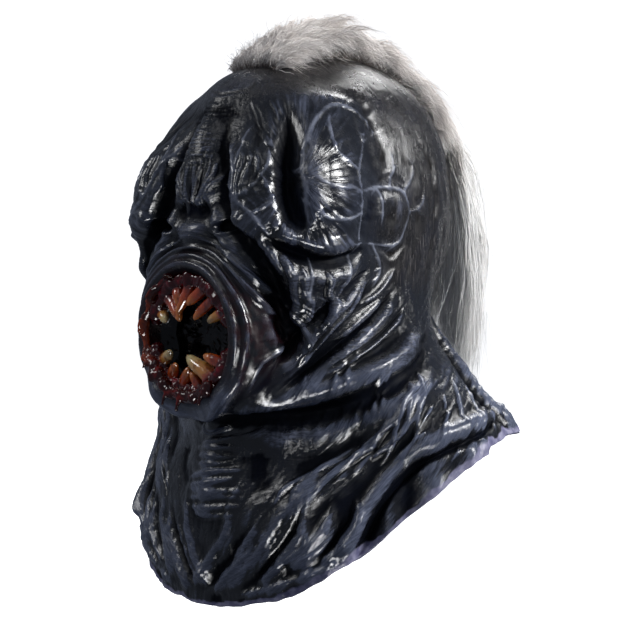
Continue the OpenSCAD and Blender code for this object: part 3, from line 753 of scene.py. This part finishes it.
def skin_material():
    s = Shader("painted_latex")
    lit, vein, skull, side = s.field("lit"), s.field("vein"), s.field("skull"), s.field("side")
    raw, cavity = s.field("raw"), s.field("cavity")
    patches = s.noise(26, 4, 0.6)
    streaks, upright = brush_streaks(s, side, skull)
    # black latex, with fine pale brush streaks on the skull that are partly painted thin highlights
    base = s.mix(skull, LATEX_BLACK, SKULL_BLACK)
    base = s.mix(s.times(s.step(patches, 0.48, 0.75), 0.4), base, BLUE_BLACK)
    skull_streaks_and_highlights = s.times(skull, s.step(patches, 0.3, 0.6, 0.2, 0.85))
    base = s.mix(s.times(s.step(upright, 0.54, 0.66), skull_streaks_and_highlights), base, SKULL_STREAK_AND_HIGHLIGHT)
    # a thin veil of paint on the neck and chest that is also a painted sheen, brightening them where the
    # lamps leave them dark, and dry brushing on every ridge, raised on the neck and chest by the same
    # painted sheen
    veil_and_sheen = s.times(s.step(s.plus(lit, s.times(streaks, 1.2)), -0.1, 0.75), side)
    base = s.mix(s.times(veil_and_sheen, 0.5), base, VEIL_AND_SHEEN_BLUE)
    ridges = s.step(s.plus(lit, s.times(side, 0.34)), 0.2, 0.9)
    brushed = s.times(ridges, s.step(streaks, -0.16, 0.2, 0.15, 1.0))
    brushed = s.times(brushed, s.step(patches, 0.28, 0.66, 0.3, 1.0))
    # painted highlight on the lower lip's front, in the ridge blue
    brushed = s.math("ADD", brushed, s.times(s.field("lower_lip_highlight"), 0.3), clamp=True)
    base = s.mix(s.times(brushed, 0.8), base, RIDGE_BLUE)
    # veins with a mist beside them, blood round the mouth and the bare hem
    worn = s.step(s.noise(46, 4, 0.65), 0.32, 0.62, 0.12, 1.0)
    mist = s.times(s.field("glow"), s.times(worn, s.step(streaks, -0.12, 0.2, 0.1, 0.42)))
    base = s.mix(mist, base, VEIN_MIST)
    base = s.mix(s.times(s.step(vein, 0.05, 1.1), s.times(worn, 0.85)), base, VEIN_BLUE)
    base = s.mix(s.times(s.field("blood"), s.step(s.noise(110, 4), 0.35, 0.6)), base, DRIED_BLOOD)
    base = s.mix(raw, base, s.mix(s.step(s.noise(130, 5), 0.35, 0.7), BARE_DARK, BARE_LIGHT))
    rough = s.plus(s.step(s.noise(90, 4), 0.3, 0.75, 0.18, 0.34), s.times(skull, 0.04))
    rough = s.plus(s.plus(rough, s.times(raw, 0.3)), s.times(cavity, 0.25))
    normal = s.bump(s.noise(1100, 2, 0.5), 0.00005, 0.6, s.bump(streaks, 0.0005, 0.9))
    s.set(Base_Color=base, Roughness=rough, Normal=normal, Coat_Weight=s.step(cavity, 0, 1, 0.4, 0.0),
          Coat_Roughness=0.12, Coat_Normal=normal, Specular_IOR_Level=s.step(cavity, 0, 1, 0.5, 0.06))
    return s.material


skin = make_mesh("sculpted_skin", grid.reshape(-1, 3), faces[keep], flat_fields, skin_material())
dress(skin, "latex_skin")


# ---------------------------------------------------------------- wet mouth
def wet_material(name, dark, light, light_at=0.5, scale=160, rough=0.08, far_edge_glow=None):
    """A wet, spotted material. Its colour turns to far_edge_glow towards the mouth's right side (-X), a
    painted glow of light through the thin gel there.
    """
    s = Shader(name)
    spots = s.noise(scale, 5, 0.6)
    body = s.mix(s.step(spots, light_at, light_at + 0.3), dark, light)
    if far_edge_glow:
        across = s.add("ShaderNodeSeparateXYZ")
        s.feed(across.inputs[0], s.place)
        # the thin torn gel at the far edge gets a painted glow of light shining through it
        thin = s.times(s.step(across.outputs[0], -0.034, -0.052), s.step(spots, 0.38, 0.6, 0.15, 0.8))
        body = s.mix(thin, body, far_edge_glow)
    normal = s.bump(s.noise(scale * 0.9, 2), 0.0002, 0.7)
    s.set(Base_Color=body, Roughness=s.step(s.noise(120, 2), 0.3, 0.8, rough, rough + 0.16), Normal=normal,
          Coat_Weight=0.45, Coat_Roughness=0.07, Specular_IOR_Level=0.25)
    s.set(Subsurface_Weight=0.12, Subsurface_Scale=0.003)
    s.surface.inputs["Subsurface Radius"].default_value = (1.0, 0.25, 0.2)
    return s.material


GUM = wet_material("wet_gum", (0.05, 0.0015, 0.003), (0.36, 0.016, 0.03), 0.5, 90, 0.12)
TONGUE = wet_material("wet_tongue", (0.006, 0.003, 0.004), (0.05, 0.008, 0.01), 0.55)
GORE = wet_material("red_gel", (0.038, 0.0008, 0.001), (0.34, 0.014, 0.006), 0.5, 80, 0.16,
                    far_edge_glow=(0.42, 0.06, 0.008))
# the liner is black, and its colour is darker still: painted shade deep inside the mouth
THROAT_IN_SHADE = wet_material("black_throat", (0.0012, 0.001, 0.0012), (0.004, 0.002, 0.002), 0.6, 260, 0.16)
for socket_name, dull in (("Specular IOR Level", 0.2), ("Coat Weight", 0.25)):
    THROAT_IN_SHADE.node_tree.nodes["Principled BSDF"].inputs[socket_name].default_value = dull


def lathe_tube(name, path, radii, sides, material, lumps=0.0, seed=0, fields=None):
    """A tube with round closed ends along a path, with a lumpy surface."""
    path = np.asarray(path, float)
    tangent = np.gradient(path, axis=0)
    tangent /= np.linalg.norm(tangent, axis=1)[:, None]
    side = np.cross(tangent, [0, 1, 0.02])
    side /= np.linalg.norm(side, axis=1)[:, None]
    up = np.cross(side, tangent)
    t = np.linspace(0, 2 * np.pi, sides, endpoint=False)
    ring = np.cos(t)[None, :, None] * side[:, None] + np.sin(t)[None, :, None] * up[:, None]
    points = path[:, None] + ring * np.asarray(radii)[:, None, None]
    if lumps:
        points += ring * (lumps * layered(points / 11, seed, 2))[..., None]
    ends = np.array([points[0].mean(0), points[-1].mean(0)])
    faces = [grid_faces(len(path), sides), fans(len(path), sides, len(path) * sides)]
    return make_mesh(name, np.concatenate([points.reshape(-1, 3), ends]), faces, fields, material)


def tooth_line(node):
    """Root, tip and root radius of a CAD tooth."""
    points = np.array([v.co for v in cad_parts[node].data.vertices]) / MM
    from_axis = np.hypot(points[:, 0], points[:, 2] - MOUTH_Z)
    tip = points[from_axis.argmin()]
    far = np.linalg.norm(points - tip, axis=1)
    root = points[far > 0.93 * far.max()].mean(0)
    radius = np.linalg.norm(np.cross(points - tip, (root - tip) / np.linalg.norm(root - tip)), axis=1)
    return root, tip, radius.max()


TEETH = [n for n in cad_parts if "_tooth_" in n]
ROOTS = {n: tooth_line(n) for n in TEETH}


def tooth_material(name, root, middle, tip):
    s = Shader(name)
    along = s.plus(s.field("along"), s.times(s.math("SUBTRACT", s.noise(190, 3), 0.5), 0.35))
    body = s.mix(s.step(along, 0.08, 0.38), root, middle)
    body = s.mix(s.step(along, 0.4, 0.95), body, tip)
    stain = s.step(s.noise(150, 4, 0.6, s.stretched(s.place, (1, 1, 0.5))), 0.46, 0.66)
    body = s.mix(s.times(stain, 0.75), body, (0.10, 0.010, 0.005))
    normal = s.bump(s.noise(420, 3), 0.0004, 0.5)
    s.set(Base_Color=body, Roughness=0.16, Coat_Weight=1.0, Coat_Roughness=0.05, Normal=normal,
          Subsurface_Weight=0.1, Subsurface_Scale=0.002)
    return s.material


AMBER = tooth_material("amber_tooth", (0.11, 0.006, 0.004), (0.50, 0.06, 0.009), (0.72, 0.22, 0.04))
IVORY = tooth_material("ivory_tooth", (0.34, 0.04, 0.03), (0.64, 0.27, 0.06), (0.86, 0.70, 0.33))


def build_tooth(node, number):
    root, tip, radius = ROOTS[node]
    upper = node.startswith("upper")
    inward = (tip - root) / np.linalg.norm(tip - root)
    length = np.linalg.norm(tip - root)
    hook = np.array([rng.normal(0, 0.20), -0.06 - 0.16 * rng.random(), rng.normal(0, 0.08)])
    t = np.linspace(0, 1, 22)
    path = root + inward * (length * (t - 0.04))[:, None]
    path += hook * (length * np.sin(np.pi * t * 0.5) ** 2)[:, None]
    path += np.array([rng.normal(0, 0.05), 0, 0]) * (length * np.sin(np.pi * t))[:, None]
    profile = np.interp(t, [0, .08, .2, .45, .7, .88, .96, 1], [.7, 1.1, 1.0, .92, .74, .5, .3, .06])
    radii = 1.12 * radius * profile * (1 + 0.12 * rng.normal())
    along = {"along": np.r_[np.repeat(t, 20), 0, 1]}
    piece = lathe_tube("fang_" + node, path, radii, 20, None, 0.5, number, along)
    ivory = node in ("upper_tooth_1", "lower_tooth_5", "lower_tooth_1", "upper_tooth_7")
    piece.data.materials.append(IVORY if ivory else AMBER)
    dress(piece, node)


for number, node in enumerate(TEETH):
    build_tooth(node, number + 30)


def build_gum(node, start, end):
    turns = np.radians(np.linspace(start, end, 190))
    swell = 0.92 + 0.22 * noise(np.stack([turns * 9, 0 * turns, 0 * turns], -1), 3)
    path = np.stack([ARCH_R * np.cos(turns), np.full(190, GUM_Y), MOUTH_Z + ARCH_R * np.sin(turns)], -1)
    for root, tip, radius in ROOTS.values():
        near = np.linalg.norm(path - root, axis=1)
        swell += 0.30 * np.exp(-(near / (radius * 1.25)) ** 2)
    fade = np.minimum(1, np.minimum(np.arange(190), np.arange(190)[::-1]) / 9 + 0.15) ** 0.5
    path[:, 1] += 1.5 * noise(path / 9, 8)
    piece = lathe_tube("lumpy_" + node, path, GUM_R * swell * fade, 44, GUM, 1.5, start)
    dress(piece, node)


build_gum("upper_gum", 9, 171)
build_gum("lower_gum", -10, -170)


def melted(name, centres, radii, voxel, material, lumps, seed):
    """One wet mass: many overlapping balls joined into a single smooth skin."""
    t, p = np.meshgrid(np.linspace(0, 2 * np.pi, 12, endpoint=False), np.linspace(0.3, np.pi - 0.3, 6))
    ball = np.stack([np.cos(t) * np.sin(p), np.sin(t) * np.sin(p), np.cos(p)], -1).reshape(-1, 3)
    ball = np.concatenate([ball, [[0, 0, 1], [0, 0, -1]]])
    points = (np.asarray(centres)[:, None] + ball[None] * np.asarray(radii)[:, None, None]).reshape(-1, 3)
    step = (np.arange(len(centres)) * len(ball))[:, None, None]
    quads = (grid_faces(6, 12)[None] + step).reshape(-1, 4)
    tips = (fans(6, 12, 72)[None] + step).reshape(-1, 3)
    rough = make_mesh(name + "_rough", points, [quads, tips])
    fill = rough.modifiers.new("fill", "REMESH")
    fill.mode = "VOXEL"
    fill.voxel_size = voxel * MM
    ease = rough.modifiers.new("ease", "SMOOTH")
    ease.factor, ease.iterations = 0.5, 26
    evaluated = rough.evaluated_get(bpy.context.evaluated_depsgraph_get())
    mesh = bpy.data.meshes.new_from_object(evaluated)
    bpy.data.objects.remove(rough)
    places, outward = np.empty((2, len(mesh.vertices) * 3))
    mesh.vertices.foreach_get("co", places)
    mesh.vertices.foreach_get("normal", outward)
    places = places.reshape(-1, 3)
    places += outward.reshape(-1, 3) * (lumps * MM * layered(places / MM / 4, seed, 2))[:, None]
    mesh.vertices.foreach_set("co", places.ravel())
    mesh.polygons.foreach_set("use_smooth", np.ones(len(mesh.polygons), bool))
    mesh.materials.append(material)
    piece = bpy.data.objects.new(name, mesh)
    bpy.context.scene.collection.objects.link(piece)
    return piece


def build_gore():
    centres, radii = [], []

    def drop(turn_at, radius, ahead, size):
        t = math.radians(turn_at)
        centres.append(np.array([radius * math.cos(t), GUM_Y - ahead, MOUTH_Z + radius * math.sin(t)]))
        radii.append(size)

    for turn_at in np.linspace(-162, -54, 31):                      # along the lower lip
        drop(turn_at + rng.normal(0, 1), ARCH_R + rng.uniform(1, 5), GUM_R + rng.uniform(-2, 2),
             rng.uniform(3.4, 5.6))
    for _ in range(13):                                             # the big clot at its far corner
        drop(rng.normal(-136, 10), ARCH_R + rng.uniform(-1, 5), GUM_R + rng.uniform(0, 4),
             rng.uniform(4, 6.5))
    for turn_at in np.linspace(112, 204, 40):                       # the torn far edge
        tear = 4 + 3 * math.sin(turn_at * 0.19) + rng.uniform(-1, 1)
        for k in range(4):
            drop(turn_at, ARCH_R + 5.5 + 0.5 * k, GUM_R - 1 + tear * k / 3, 2.9 - 0.42 * k)
    for turn_at in (-151, -133, -112, -94, -63):                    # drips
        t, length = math.radians(turn_at + rng.normal(0, 3)), rng.uniform(5, 12)
        p = np.array([(ARCH_R + 4) * math.cos(t), GUM_Y - GUM_R - 3.5, MOUTH_Z + (ARCH_R + 4) * math.sin(t)])
        width = rng.uniform(2.0, 3.0)
        for k in range(int(length / 0.8)):
            share = k * 0.8 / length
            ahead = -1.8 * math.sin(2 * share) - 3 * share
            centres.append(p + np.array([p[0] * 0.02 * share, ahead, -length * share]))
            radii.append(width * (1 - 0.55 * share) + (0.5 if share > 0.86 else 0))
    piece = melted("hanging_gore", centres, radii, 0.7, GORE, 0.12, 4)
    dress(piece, "gore_clots")


build_gore()


def build_tongue():
    low, high = node_box("tongue")
    middle, half = (low + high) / 2, (high - low) / 2
    centres = [middle + half * [rng.uniform(-1, 1) * 0.9, rng.uniform(-0.5, 0.35), rng.uniform(-0.5, 0.45)]
               for _ in range(36)]
    piece = melted("wet_tongue", centres, rng.uniform(2.4, 4.4, 36), 0.8, TONGUE, 0.7, 6)
    dress(piece, "tongue")


build_tongue()


def build_cup():
    low, high = node_box("mouth_liner")
    back, front = high[1], low[1]
    lip_r = (high[0] - low[0]) / 2
    profile = [(0.5, 0.0), (14, 0.0), (28, 0.2), (40, 0.6), (44, 2.4), (48, 6), (51, 10), (53.5, 12.6),
               (lip_r - 1, back - front - 1)]
    line = smooth_line(profile, 7)
    turns = np.linspace(0, 2 * np.pi, 180, endpoint=False)
    r, depth = line[:, :1], line[:, 1:]
    points = np.stack([r * np.cos(turns), back - 1.4 - depth + 0 * turns, MOUTH_Z + r * np.sin(turns)], -1)
    lumpy = layered(points / 9, 14, 3) * smooth(2, 12, r) * (1 - smooth(52, 56, r))
    points[..., 1] -= 1.8 * np.maximum(lumpy, -0.3)
    inner = points[::-1] + np.array([0, 1.2, 0])
    both = np.concatenate([points, inner])
    piece = make_mesh("throat_cup", both.reshape(-1, 3), grid_faces(len(both), 180)[:, ::-1], None, THROAT_IN_SHADE)
    dress(piece, "mouth_liner")


build_cup()


# ---------------------------------------------------------------- nets of the vision openings
def net_material():
    s = Shader("black_net")
    weave = s.cells(900)
    normal = s.bump(weave, 0.0004, 0.9)
    s.set(Base_Color=s.mix(s.step(weave, 0.2, 0.6), (0.02, 0.02, 0.022), (0.002, 0.002, 0.003)),
          Roughness=0.75, Normal=normal)
    return s.material


NET = net_material()


def build_net(node, side):
    around = side * EYE_ANGLE + np.linspace(-8.5, 8.5, 22)
    heights = np.linspace(EYE_Z + 11, EYE_Z - 11, 20)
    columns = [np.abs(ANGLES - a).argmin() for a in around]
    rows = [np.abs(Z[:, columns[11]] - z).argmin() for z in heights]
    sheet = (BASE + BASE_NORMAL * (np.minimum(sunk, big - 9) + 0.6)[..., None])[np.ix_(rows, columns)]
    sheet_in = sheet - BASE_NORMAL[np.ix_(rows, columns)] * 0.6
    n, m = len(rows), len(columns)
    front = grid_faces(n, m, False)
    piece = make_mesh("net_" + node, np.concatenate([sheet.reshape(-1, 3), sheet_in.reshape(-1, 3)]),
                      np.concatenate([front, front[:, ::-1] + n * m]), None, NET)
    dress(piece, node)


build_net("eye_screen_left", 1)
build_net("eye_screen_right", -1)


# ---------------------------------------------------------------- hair
rng = np.random.default_rng(8)
HAIR_FAR = 200                                   # no strand reaches further back
CREST_HALF = 25                                  # half the width of the strip that carries the hair
FUR_WIDTH, MANE_WIDTH = 0.48, 0.55               # of one ribbon, which stands for a few hairs
BEND_Z, FREE_Z = 54.0, 8.0                       # where hanging hair leaves the skull, and hangs free
BEHIND_Y, MANE_THICK = 158, 26                   # the mane's front and its thickness
SIDE_LOCKS_Y = 153                               # the side locks' tops, behind the skull


def hair_material(name, root, pale, white, root_shade_share):
    s = Shader(name)
    tone, along = s.field("tone"), s.field("along")
    body = s.mix(tone, pale, white)
    # darker towards the roots: painted shade deep in the hair, near the scalp
    body = s.mix(s.step(along, 0.0, root_shade_share, 1.0, 0.0), body, root)
    s.set(Base_Color=body, Roughness=s.step(tone, 0.0, 1.0, 0.42, 0.6), Specular_IOR_Level=0.35)
    return s.material


# the first colour of each is the painted shade at its roots
FUR = hair_material("crest_hair", (0.15, 0.12, 0.105), (0.66, 0.60, 0.56), (0.96, 0.93, 0.90), 0.45)
MANE = hair_material("mane_hair", (0.60, 0.57, 0.54), (0.90, 0.88, 0.85), (0.99, 0.985, 0.97), 0.16)


def flowing(points, steps):
    """Smooth curves through each row of points, (rows, points, 3) in and (rows, steps, 3) out."""
    return curve(points, np.linspace(0, points.shape[1] - 1 - 1e-6, steps))


def clear_of_head(points, margin):
    """Points inside the head, or nearer to it than margin, moved out to it."""
    x, y, z = points[..., 0], points[..., 1] - AXIS_Y, points[..., 2]
    low = np.minimum(z, BROW_Z)
    across = ring_at(low, HALF_WIDTH) + margin
    reach = np.where(y < 0, ring_at(low, FRONT) + AXIS_Y, ring_at(low, BACK) - AXIS_Y) + margin
    flat = np.hypot(x / across, y / reach)
    up = np.maximum(0, z - BROW_Z) / (DOME_H + margin)
    level = (flat ** DOME_POWER + up ** DOME_POWER) ** (1 / DOME_POWER)
    out = np.where(level < 1, 1 / np.maximum(level, 0.2), 1)
    return np.stack([x * out, AXIS_Y + y * out, np.where(z > BROW_Z, BROW_Z + (z - BROW_Z) * out, z)], -1)


def strands(name, guides, each, spread, width, material, frizz):
    """Hair strands in locks: each guide line carries several, as flat ribbons that taper."""
    locks, steps = guides.shape[:2]
    count = locks * each
    path = np.repeat(guides, each, 0)
    s = np.linspace(0, 1, steps)[None, :, None]
    start = rng.normal(0, 1, (count, 1, 3)) * spread
    phase, rate = rng.uniform(0, 6.28, (count, 1, 3)), rng.uniform(1.2, 3.4, (count, 1, 3))
    wave = np.sin(phase + rate * 6.28 * s) - np.sin(phase)
    stray = rng.normal(0, 1, (count, 1, 3)) * (rng.random((count, 1, 1)) < 0.14) * 5 * frizz * s ** 1.5
    path = path + start * (1 - 0.5 * np.sin(np.pi * s * 0.62)) + wave * frizz * (0.3 + 0.9 * s) + stray
    cut = rng.uniform(0.62, 1.0, (count, 1))
    grow_to = cut * np.linspace(0, 1, steps)[None] * (steps - 1)
    k = np.minimum(grow_to.astype(int), steps - 2)
    f = (grow_to - k)[..., None]
    rows = np.arange(count)[:, None]
    path = clear_of_head(path[rows, k] * (1 - f) + path[rows, k + 1] * f, 1.0)
    past = np.maximum(0, path[..., 1] - (HAIR_FAR - 10))
    path[..., 1] -= past - 10 * np.tanh(past / 10)
    tangent = np.gradient(path, axis=1)
    turned = rng.normal(0, 1, (count, 1, 3)) + np.array([0.9, 0, 0])
    side = np.cross(tangent, turned)
    side /= np.maximum(1e-6, np.linalg.norm(side, axis=2))[..., None]
    half = 0.5 * width * rng.uniform(0.7, 1.25, (count, 1, 1)) * (1.03 - s ** 2.2)
    points = np.stack([path - side * half, path + side * half], 2).reshape(-1, 3)
    i = (np.arange(count)[:, None] * steps + np.arange(steps - 1)[None]).ravel() * 2
    faces = np.stack([i, i + 1, i + 3, i + 2], -1)
    lock_tone = np.repeat(rng.random(locks), each)
    tone = np.clip(0.55 * lock_tone + 0.45 * rng.random(count) + 0.08, 0, 1)
    fields = {"along": np.repeat(np.broadcast_to(s[..., 0] * cut, (count, steps)).ravel(), 2),
              "tone": np.repeat(tone, 2 * steps)}
    return make_mesh(name, points, faces, fields, material)


def scalp_frame(b, x, lift):
    """A point over the scalp, its outward direction and its backward direction."""
    p = scalp(b, x, lift)
    back = scalp(b + 1, x, lift) - scalp(b - 1, x, lift)
    back /= np.linalg.norm(back, axis=-1)[..., None]
    across = scalp(b, x + 1, lift) - scalp(b, x - 1, lift)
    out = np.cross(across, back)
    out /= np.linalg.norm(out, axis=-1)[..., None]
    return p, out, back


def crest_fur(name, node, b_low, b_high, locks, each):
    b = rng.uniform(b_low, b_high, locks)
    x = CREST_HALF * np.sign(rng.uniform(-1, 1, locks)) * rng.random(locks) ** 0.75
    root, out, back = scalp_frame(b, x, 1.0)
    side = np.sign(x)[:, None] * np.array([1.0, 0, 0])
    edge = (np.abs(x) / CREST_HALF)[:, None]
    height = np.interp(b, [-36, -26, -12, 0, 12, 30, 50, 70], [8, 16, 34, 44, 31, 29, 34, 20])[:, None]
    height = height * rng.uniform(0.55, 1.0, (locks, 1)) * (1 - 0.5 * edge ** 2)
    sweep = np.interp(b, [-36, -16, 0, 14, 30, 70], [1.9, 0.95, 0.55, 0.85, 1.2, 1.9])[:, None]
    sweep = sweep * rng.uniform(0.7, 1.25, (locks, 1))
    lean = rng.normal(0, 0.16, (locks, 1)) * np.array([1.0, 0, 0])
    mid = root + height * (0.62 * out + 0.25 * sweep * back + lean) + 4 * edge * side
    far = root + height * ((0.98 - 0.35 * edge) * out + 0.8 * sweep * back + 2 * lean) + 11 * edge * side
    tip = root + height * ((0.86 - 0.62 * edge) * out + 1.55 * sweep * back + 3.2 * lean) + 19 * edge * side
    tip[:, 2] -= 5 * edge[:, 0] + 3
    guides = flowing(np.stack([root, mid, far, tip], 1), 10)
    piece = strands(name, guides, each, 1.6, FUR_WIDTH, FUR, 1.9)
    dress(piece, node)


crest_fur("fur_front", "crest_front", -31, -14, 330, 34)
crest_fur("fur_top", "crest_top", -17, 22, 400, 27)
crest_fur("fur_crown", "crest_crown", 18, 60, 400, 27)


def hanging_hair(b, x, hang_x, hang_y, tip_z, steps=19):
    """Guide lines from the back of the scalp, over the crown and straight down."""
    n = len(b)
    root, out, back = scalp_frame(b, x, 1.5)
    lift = rng.uniform(3, 13, (n, 1))
    over = root + lift * out + 26 * back
    bend = np.stack([0.9 * hang_x, hang_y, np.full(n, BEND_Z)], -1) + rng.normal(0, 1.5, (n, 3))
    shoulder = over + (bend - over) * [0.6, 0.7, 0.48] + rng.normal(0, 2, (n, 3))
    low = np.stack([1.16 * hang_x, hang_y + 4, np.full(n, FREE_Z)], -1) + rng.normal(0, 2, (n, 3))
    knee = np.stack([1.26 * hang_x, hang_y + 3, 0.5 * (FREE_Z + tip_z)], -1) + rng.normal(0, 3, (n, 3))
    tip = np.stack([1.1 * hang_x, hang_y - 5, tip_z], -1) + rng.normal(0, 3.5, (n, 3))
    points = np.stack([root, over, shoulder, bend, low, knee, tip], 1)
    points[:, 1:4] = clear_of_head(points[:, 1:4], 3)
    return flowing(points, steps)


def drape(count, centre_x, half_x, low_tip, high_tip):
    """How each of count locks hangs: its place across, its place behind and its tip's height."""
    hang_x = centre_x + half_x * rng.uniform(-1, 1, count)
    depth = rng.random(count)
    hang_y = BEHIND_Y + MANE_THICK * depth - 0.05 * np.abs(hang_x)
    return hang_x, hang_y, rng.uniform(low_tip, high_tip, count) + 8 * depth


def hang(piece, node):
    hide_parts(node)
    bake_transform(piece)


# the middle of the mane: long hair down the centre, and shorter hair that covers the side locks' tops
def middle_mane():
    middle_x, middle_y, middle_tip = drape(130, 0, 14, -164, -104)
    cover_x, cover_y, cover_tip = drape(120, 0, 40, -70, 12)
    hang_x, hang_y = np.r_[middle_x, cover_x], np.r_[middle_y, cover_y + 3]
    root_b = rng.uniform(22, 66, len(hang_x))
    root_x = np.clip(0.7 * hang_x + rng.normal(0, 3, len(hang_x)), -CREST_HALF, CREST_HALF)
    guides = hanging_hair(root_b, root_x, hang_x, hang_y, np.r_[middle_tip, cover_tip], 15)
    piece = strands("mane_hair", guides, 26, 2.2, MANE_WIDTH, MANE, 2.2)
    hang(piece, "mane_centre")


middle_mane()


# the side locks start under it, clear of the skull
def side_lock(side_name, side, count=170, bends=6):
    lock_x, lock_y, lock_tip = drape(count, side * 27, 14, -164, -96)
    heights = np.linspace(1, 0, bends)[None, :] ** 1.2
    fallen = 1 - heights
    top = rng.uniform(44, 78, (count, 1))
    z = lock_tip[:, None] + (top - lock_tip[:, None]) * heights
    y = SIDE_LOCKS_Y + (lock_y[:, None] + 2 - SIDE_LOCKS_Y) * np.minimum(1, 3 * fallen) - 7 * fallen ** 3
    x = lock_x[:, None] * (0.9 + 0.34 * np.sin(0.8 * np.pi * fallen))
    guides = np.stack([x, y, z], -1) + rng.normal(0, [2.4, 1.2, 2.4], (count, bends, 3))
    piece = strands("lock_hair_" + side_name, flowing(guides, 16), 28, 2.2, MANE_WIDTH, MANE, 2.2)
    hang(piece, "mane_" + side_name)


side_lock("left", 1)
side_lock("right", -1)


def fabric_material():
    s = Shader("backing_fabric")
    weave = s.times(s.noise(700, 2, 0.5, s.stretched(s.place, (1, 0.25, 1))),
                    s.noise(700, 2, 0.5, s.stretched(s.place, (0.25, 1, 1))))
    s.set(Base_Color=s.mix(s.step(weave, 0.15, 0.35), (0.03, 0.028, 0.027), (0.11, 0.10, 0.095)),
          Roughness=0.85, Normal=s.bump(weave, 0.0006, 0.8))
    return s.material


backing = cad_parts["crest_backing"]
backing.data.materials.clear()
backing.data.materials.append(fabric_material())


# ---------------------------------------------------------------- floor, backdrop, lights, camera
def backdrop_material(name, glow):
    s = Shader(name)
    paper = s.mix(s.noise(3.0, 2), (0.86, 0.86, 0.86), (0.88, 0.88, 0.88))
    s.set(Base_Color=paper, Roughness=0.9, Emission_Color=paper, Emission_Strength=glow)
    return s.material


def backdrop(name, points, faces, glow):
    """A piece of the set. It's bright for the camera, but throws no light on the mask."""
    piece = make_mesh(name, points, faces, None, backdrop_material(name + "_paper", glow))
    piece.visible_diffuse = piece.visible_glossy = False


FLOOR_Z = SKIN_LOW[2] - 62
corners = [[-6000, -6000, FLOOR_Z], [6000, -6000, FLOOR_Z], [-6000, 6000, FLOOR_Z], [6000, 6000, FLOOR_Z]]
backdrop("floor", corners, grid_faces(2, 2, False)[:, ::-1], 1.05)
ring = np.radians(np.arange(72) * 5)
wall = np.stack([np.stack([5800 * np.cos(ring), 5800 * np.sin(ring), FLOOR_Z + h + 0 * ring], -1)
                 for h in (-10, 1500, 6000)])
backdrop("wall", wall.reshape(-1, 3), grid_faces(3, 72), 1.16)


def soft_light(name, azimuth, elevation, distance, size, power, colour=(1, 1, 1)):
    """A square light that looks at the mask; azimuth 0 is in front and 90 on its left side."""
    lamp = bpy.data.lights.new(name, "AREA")
    lamp.size, lamp.energy, lamp.color = size, power, colour
    light = bpy.data.objects.new(name, lamp)
    bpy.context.scene.collection.objects.link(light)
    aim_at(light, azimuth, elevation, distance, (0, 0, -0.07))


def aim_at(thing, azimuth, elevation, distance, target):
    a, e = math.radians(azimuth), math.radians(elevation)
    offset = Vector((math.sin(a) * math.cos(e), -math.cos(a) * math.cos(e), math.sin(e)))
    thing.location = Vector(target) + offset * distance
    thing.rotation_euler = offset.to_track_quat("Z", "Y").to_euler()


soft_light("key", -36, 36, 1.5, 0.4, 4)
soft_light("side", 112, 26, 1.6, 0.5, 29)
soft_light("front", 30, 62, 1.7, 0.7, 1.5)
soft_light("low", 52, -26, 1.7, 0.6, 27)
soft_light("rim", -150, 44, 1.6, 0.6, 18)

world = bpy.context.scene.world or bpy.data.worlds.new("world")
bpy.context.scene.world = world
world.use_nodes = True
world.node_tree.nodes["Background"].inputs["Color"].default_value = (0.82, 0.92, 1.15, 1)
world.node_tree.nodes["Background"].inputs["Strength"].default_value = 0.15
bpy.context.scene.view_settings.view_transform = "Standard"

VIEW_ANGLE, VIEW_HEIGHT, VIEW_DISTANCE = 45, 3, 1.49
AIM = (0.0057, 0.0057, -0.0718)
lens = bpy.data.cameras.new("camera")
lens.lens, lens.sensor_width = 100, 36
camera = bpy.data.objects.new("camera", lens)
bpy.context.scene.collection.objects.link(camera)
aim_at(camera, VIEW_ANGLE, VIEW_HEIGHT, VIEW_DISTANCE, AIM)
bpy.context.scene.camera = camera
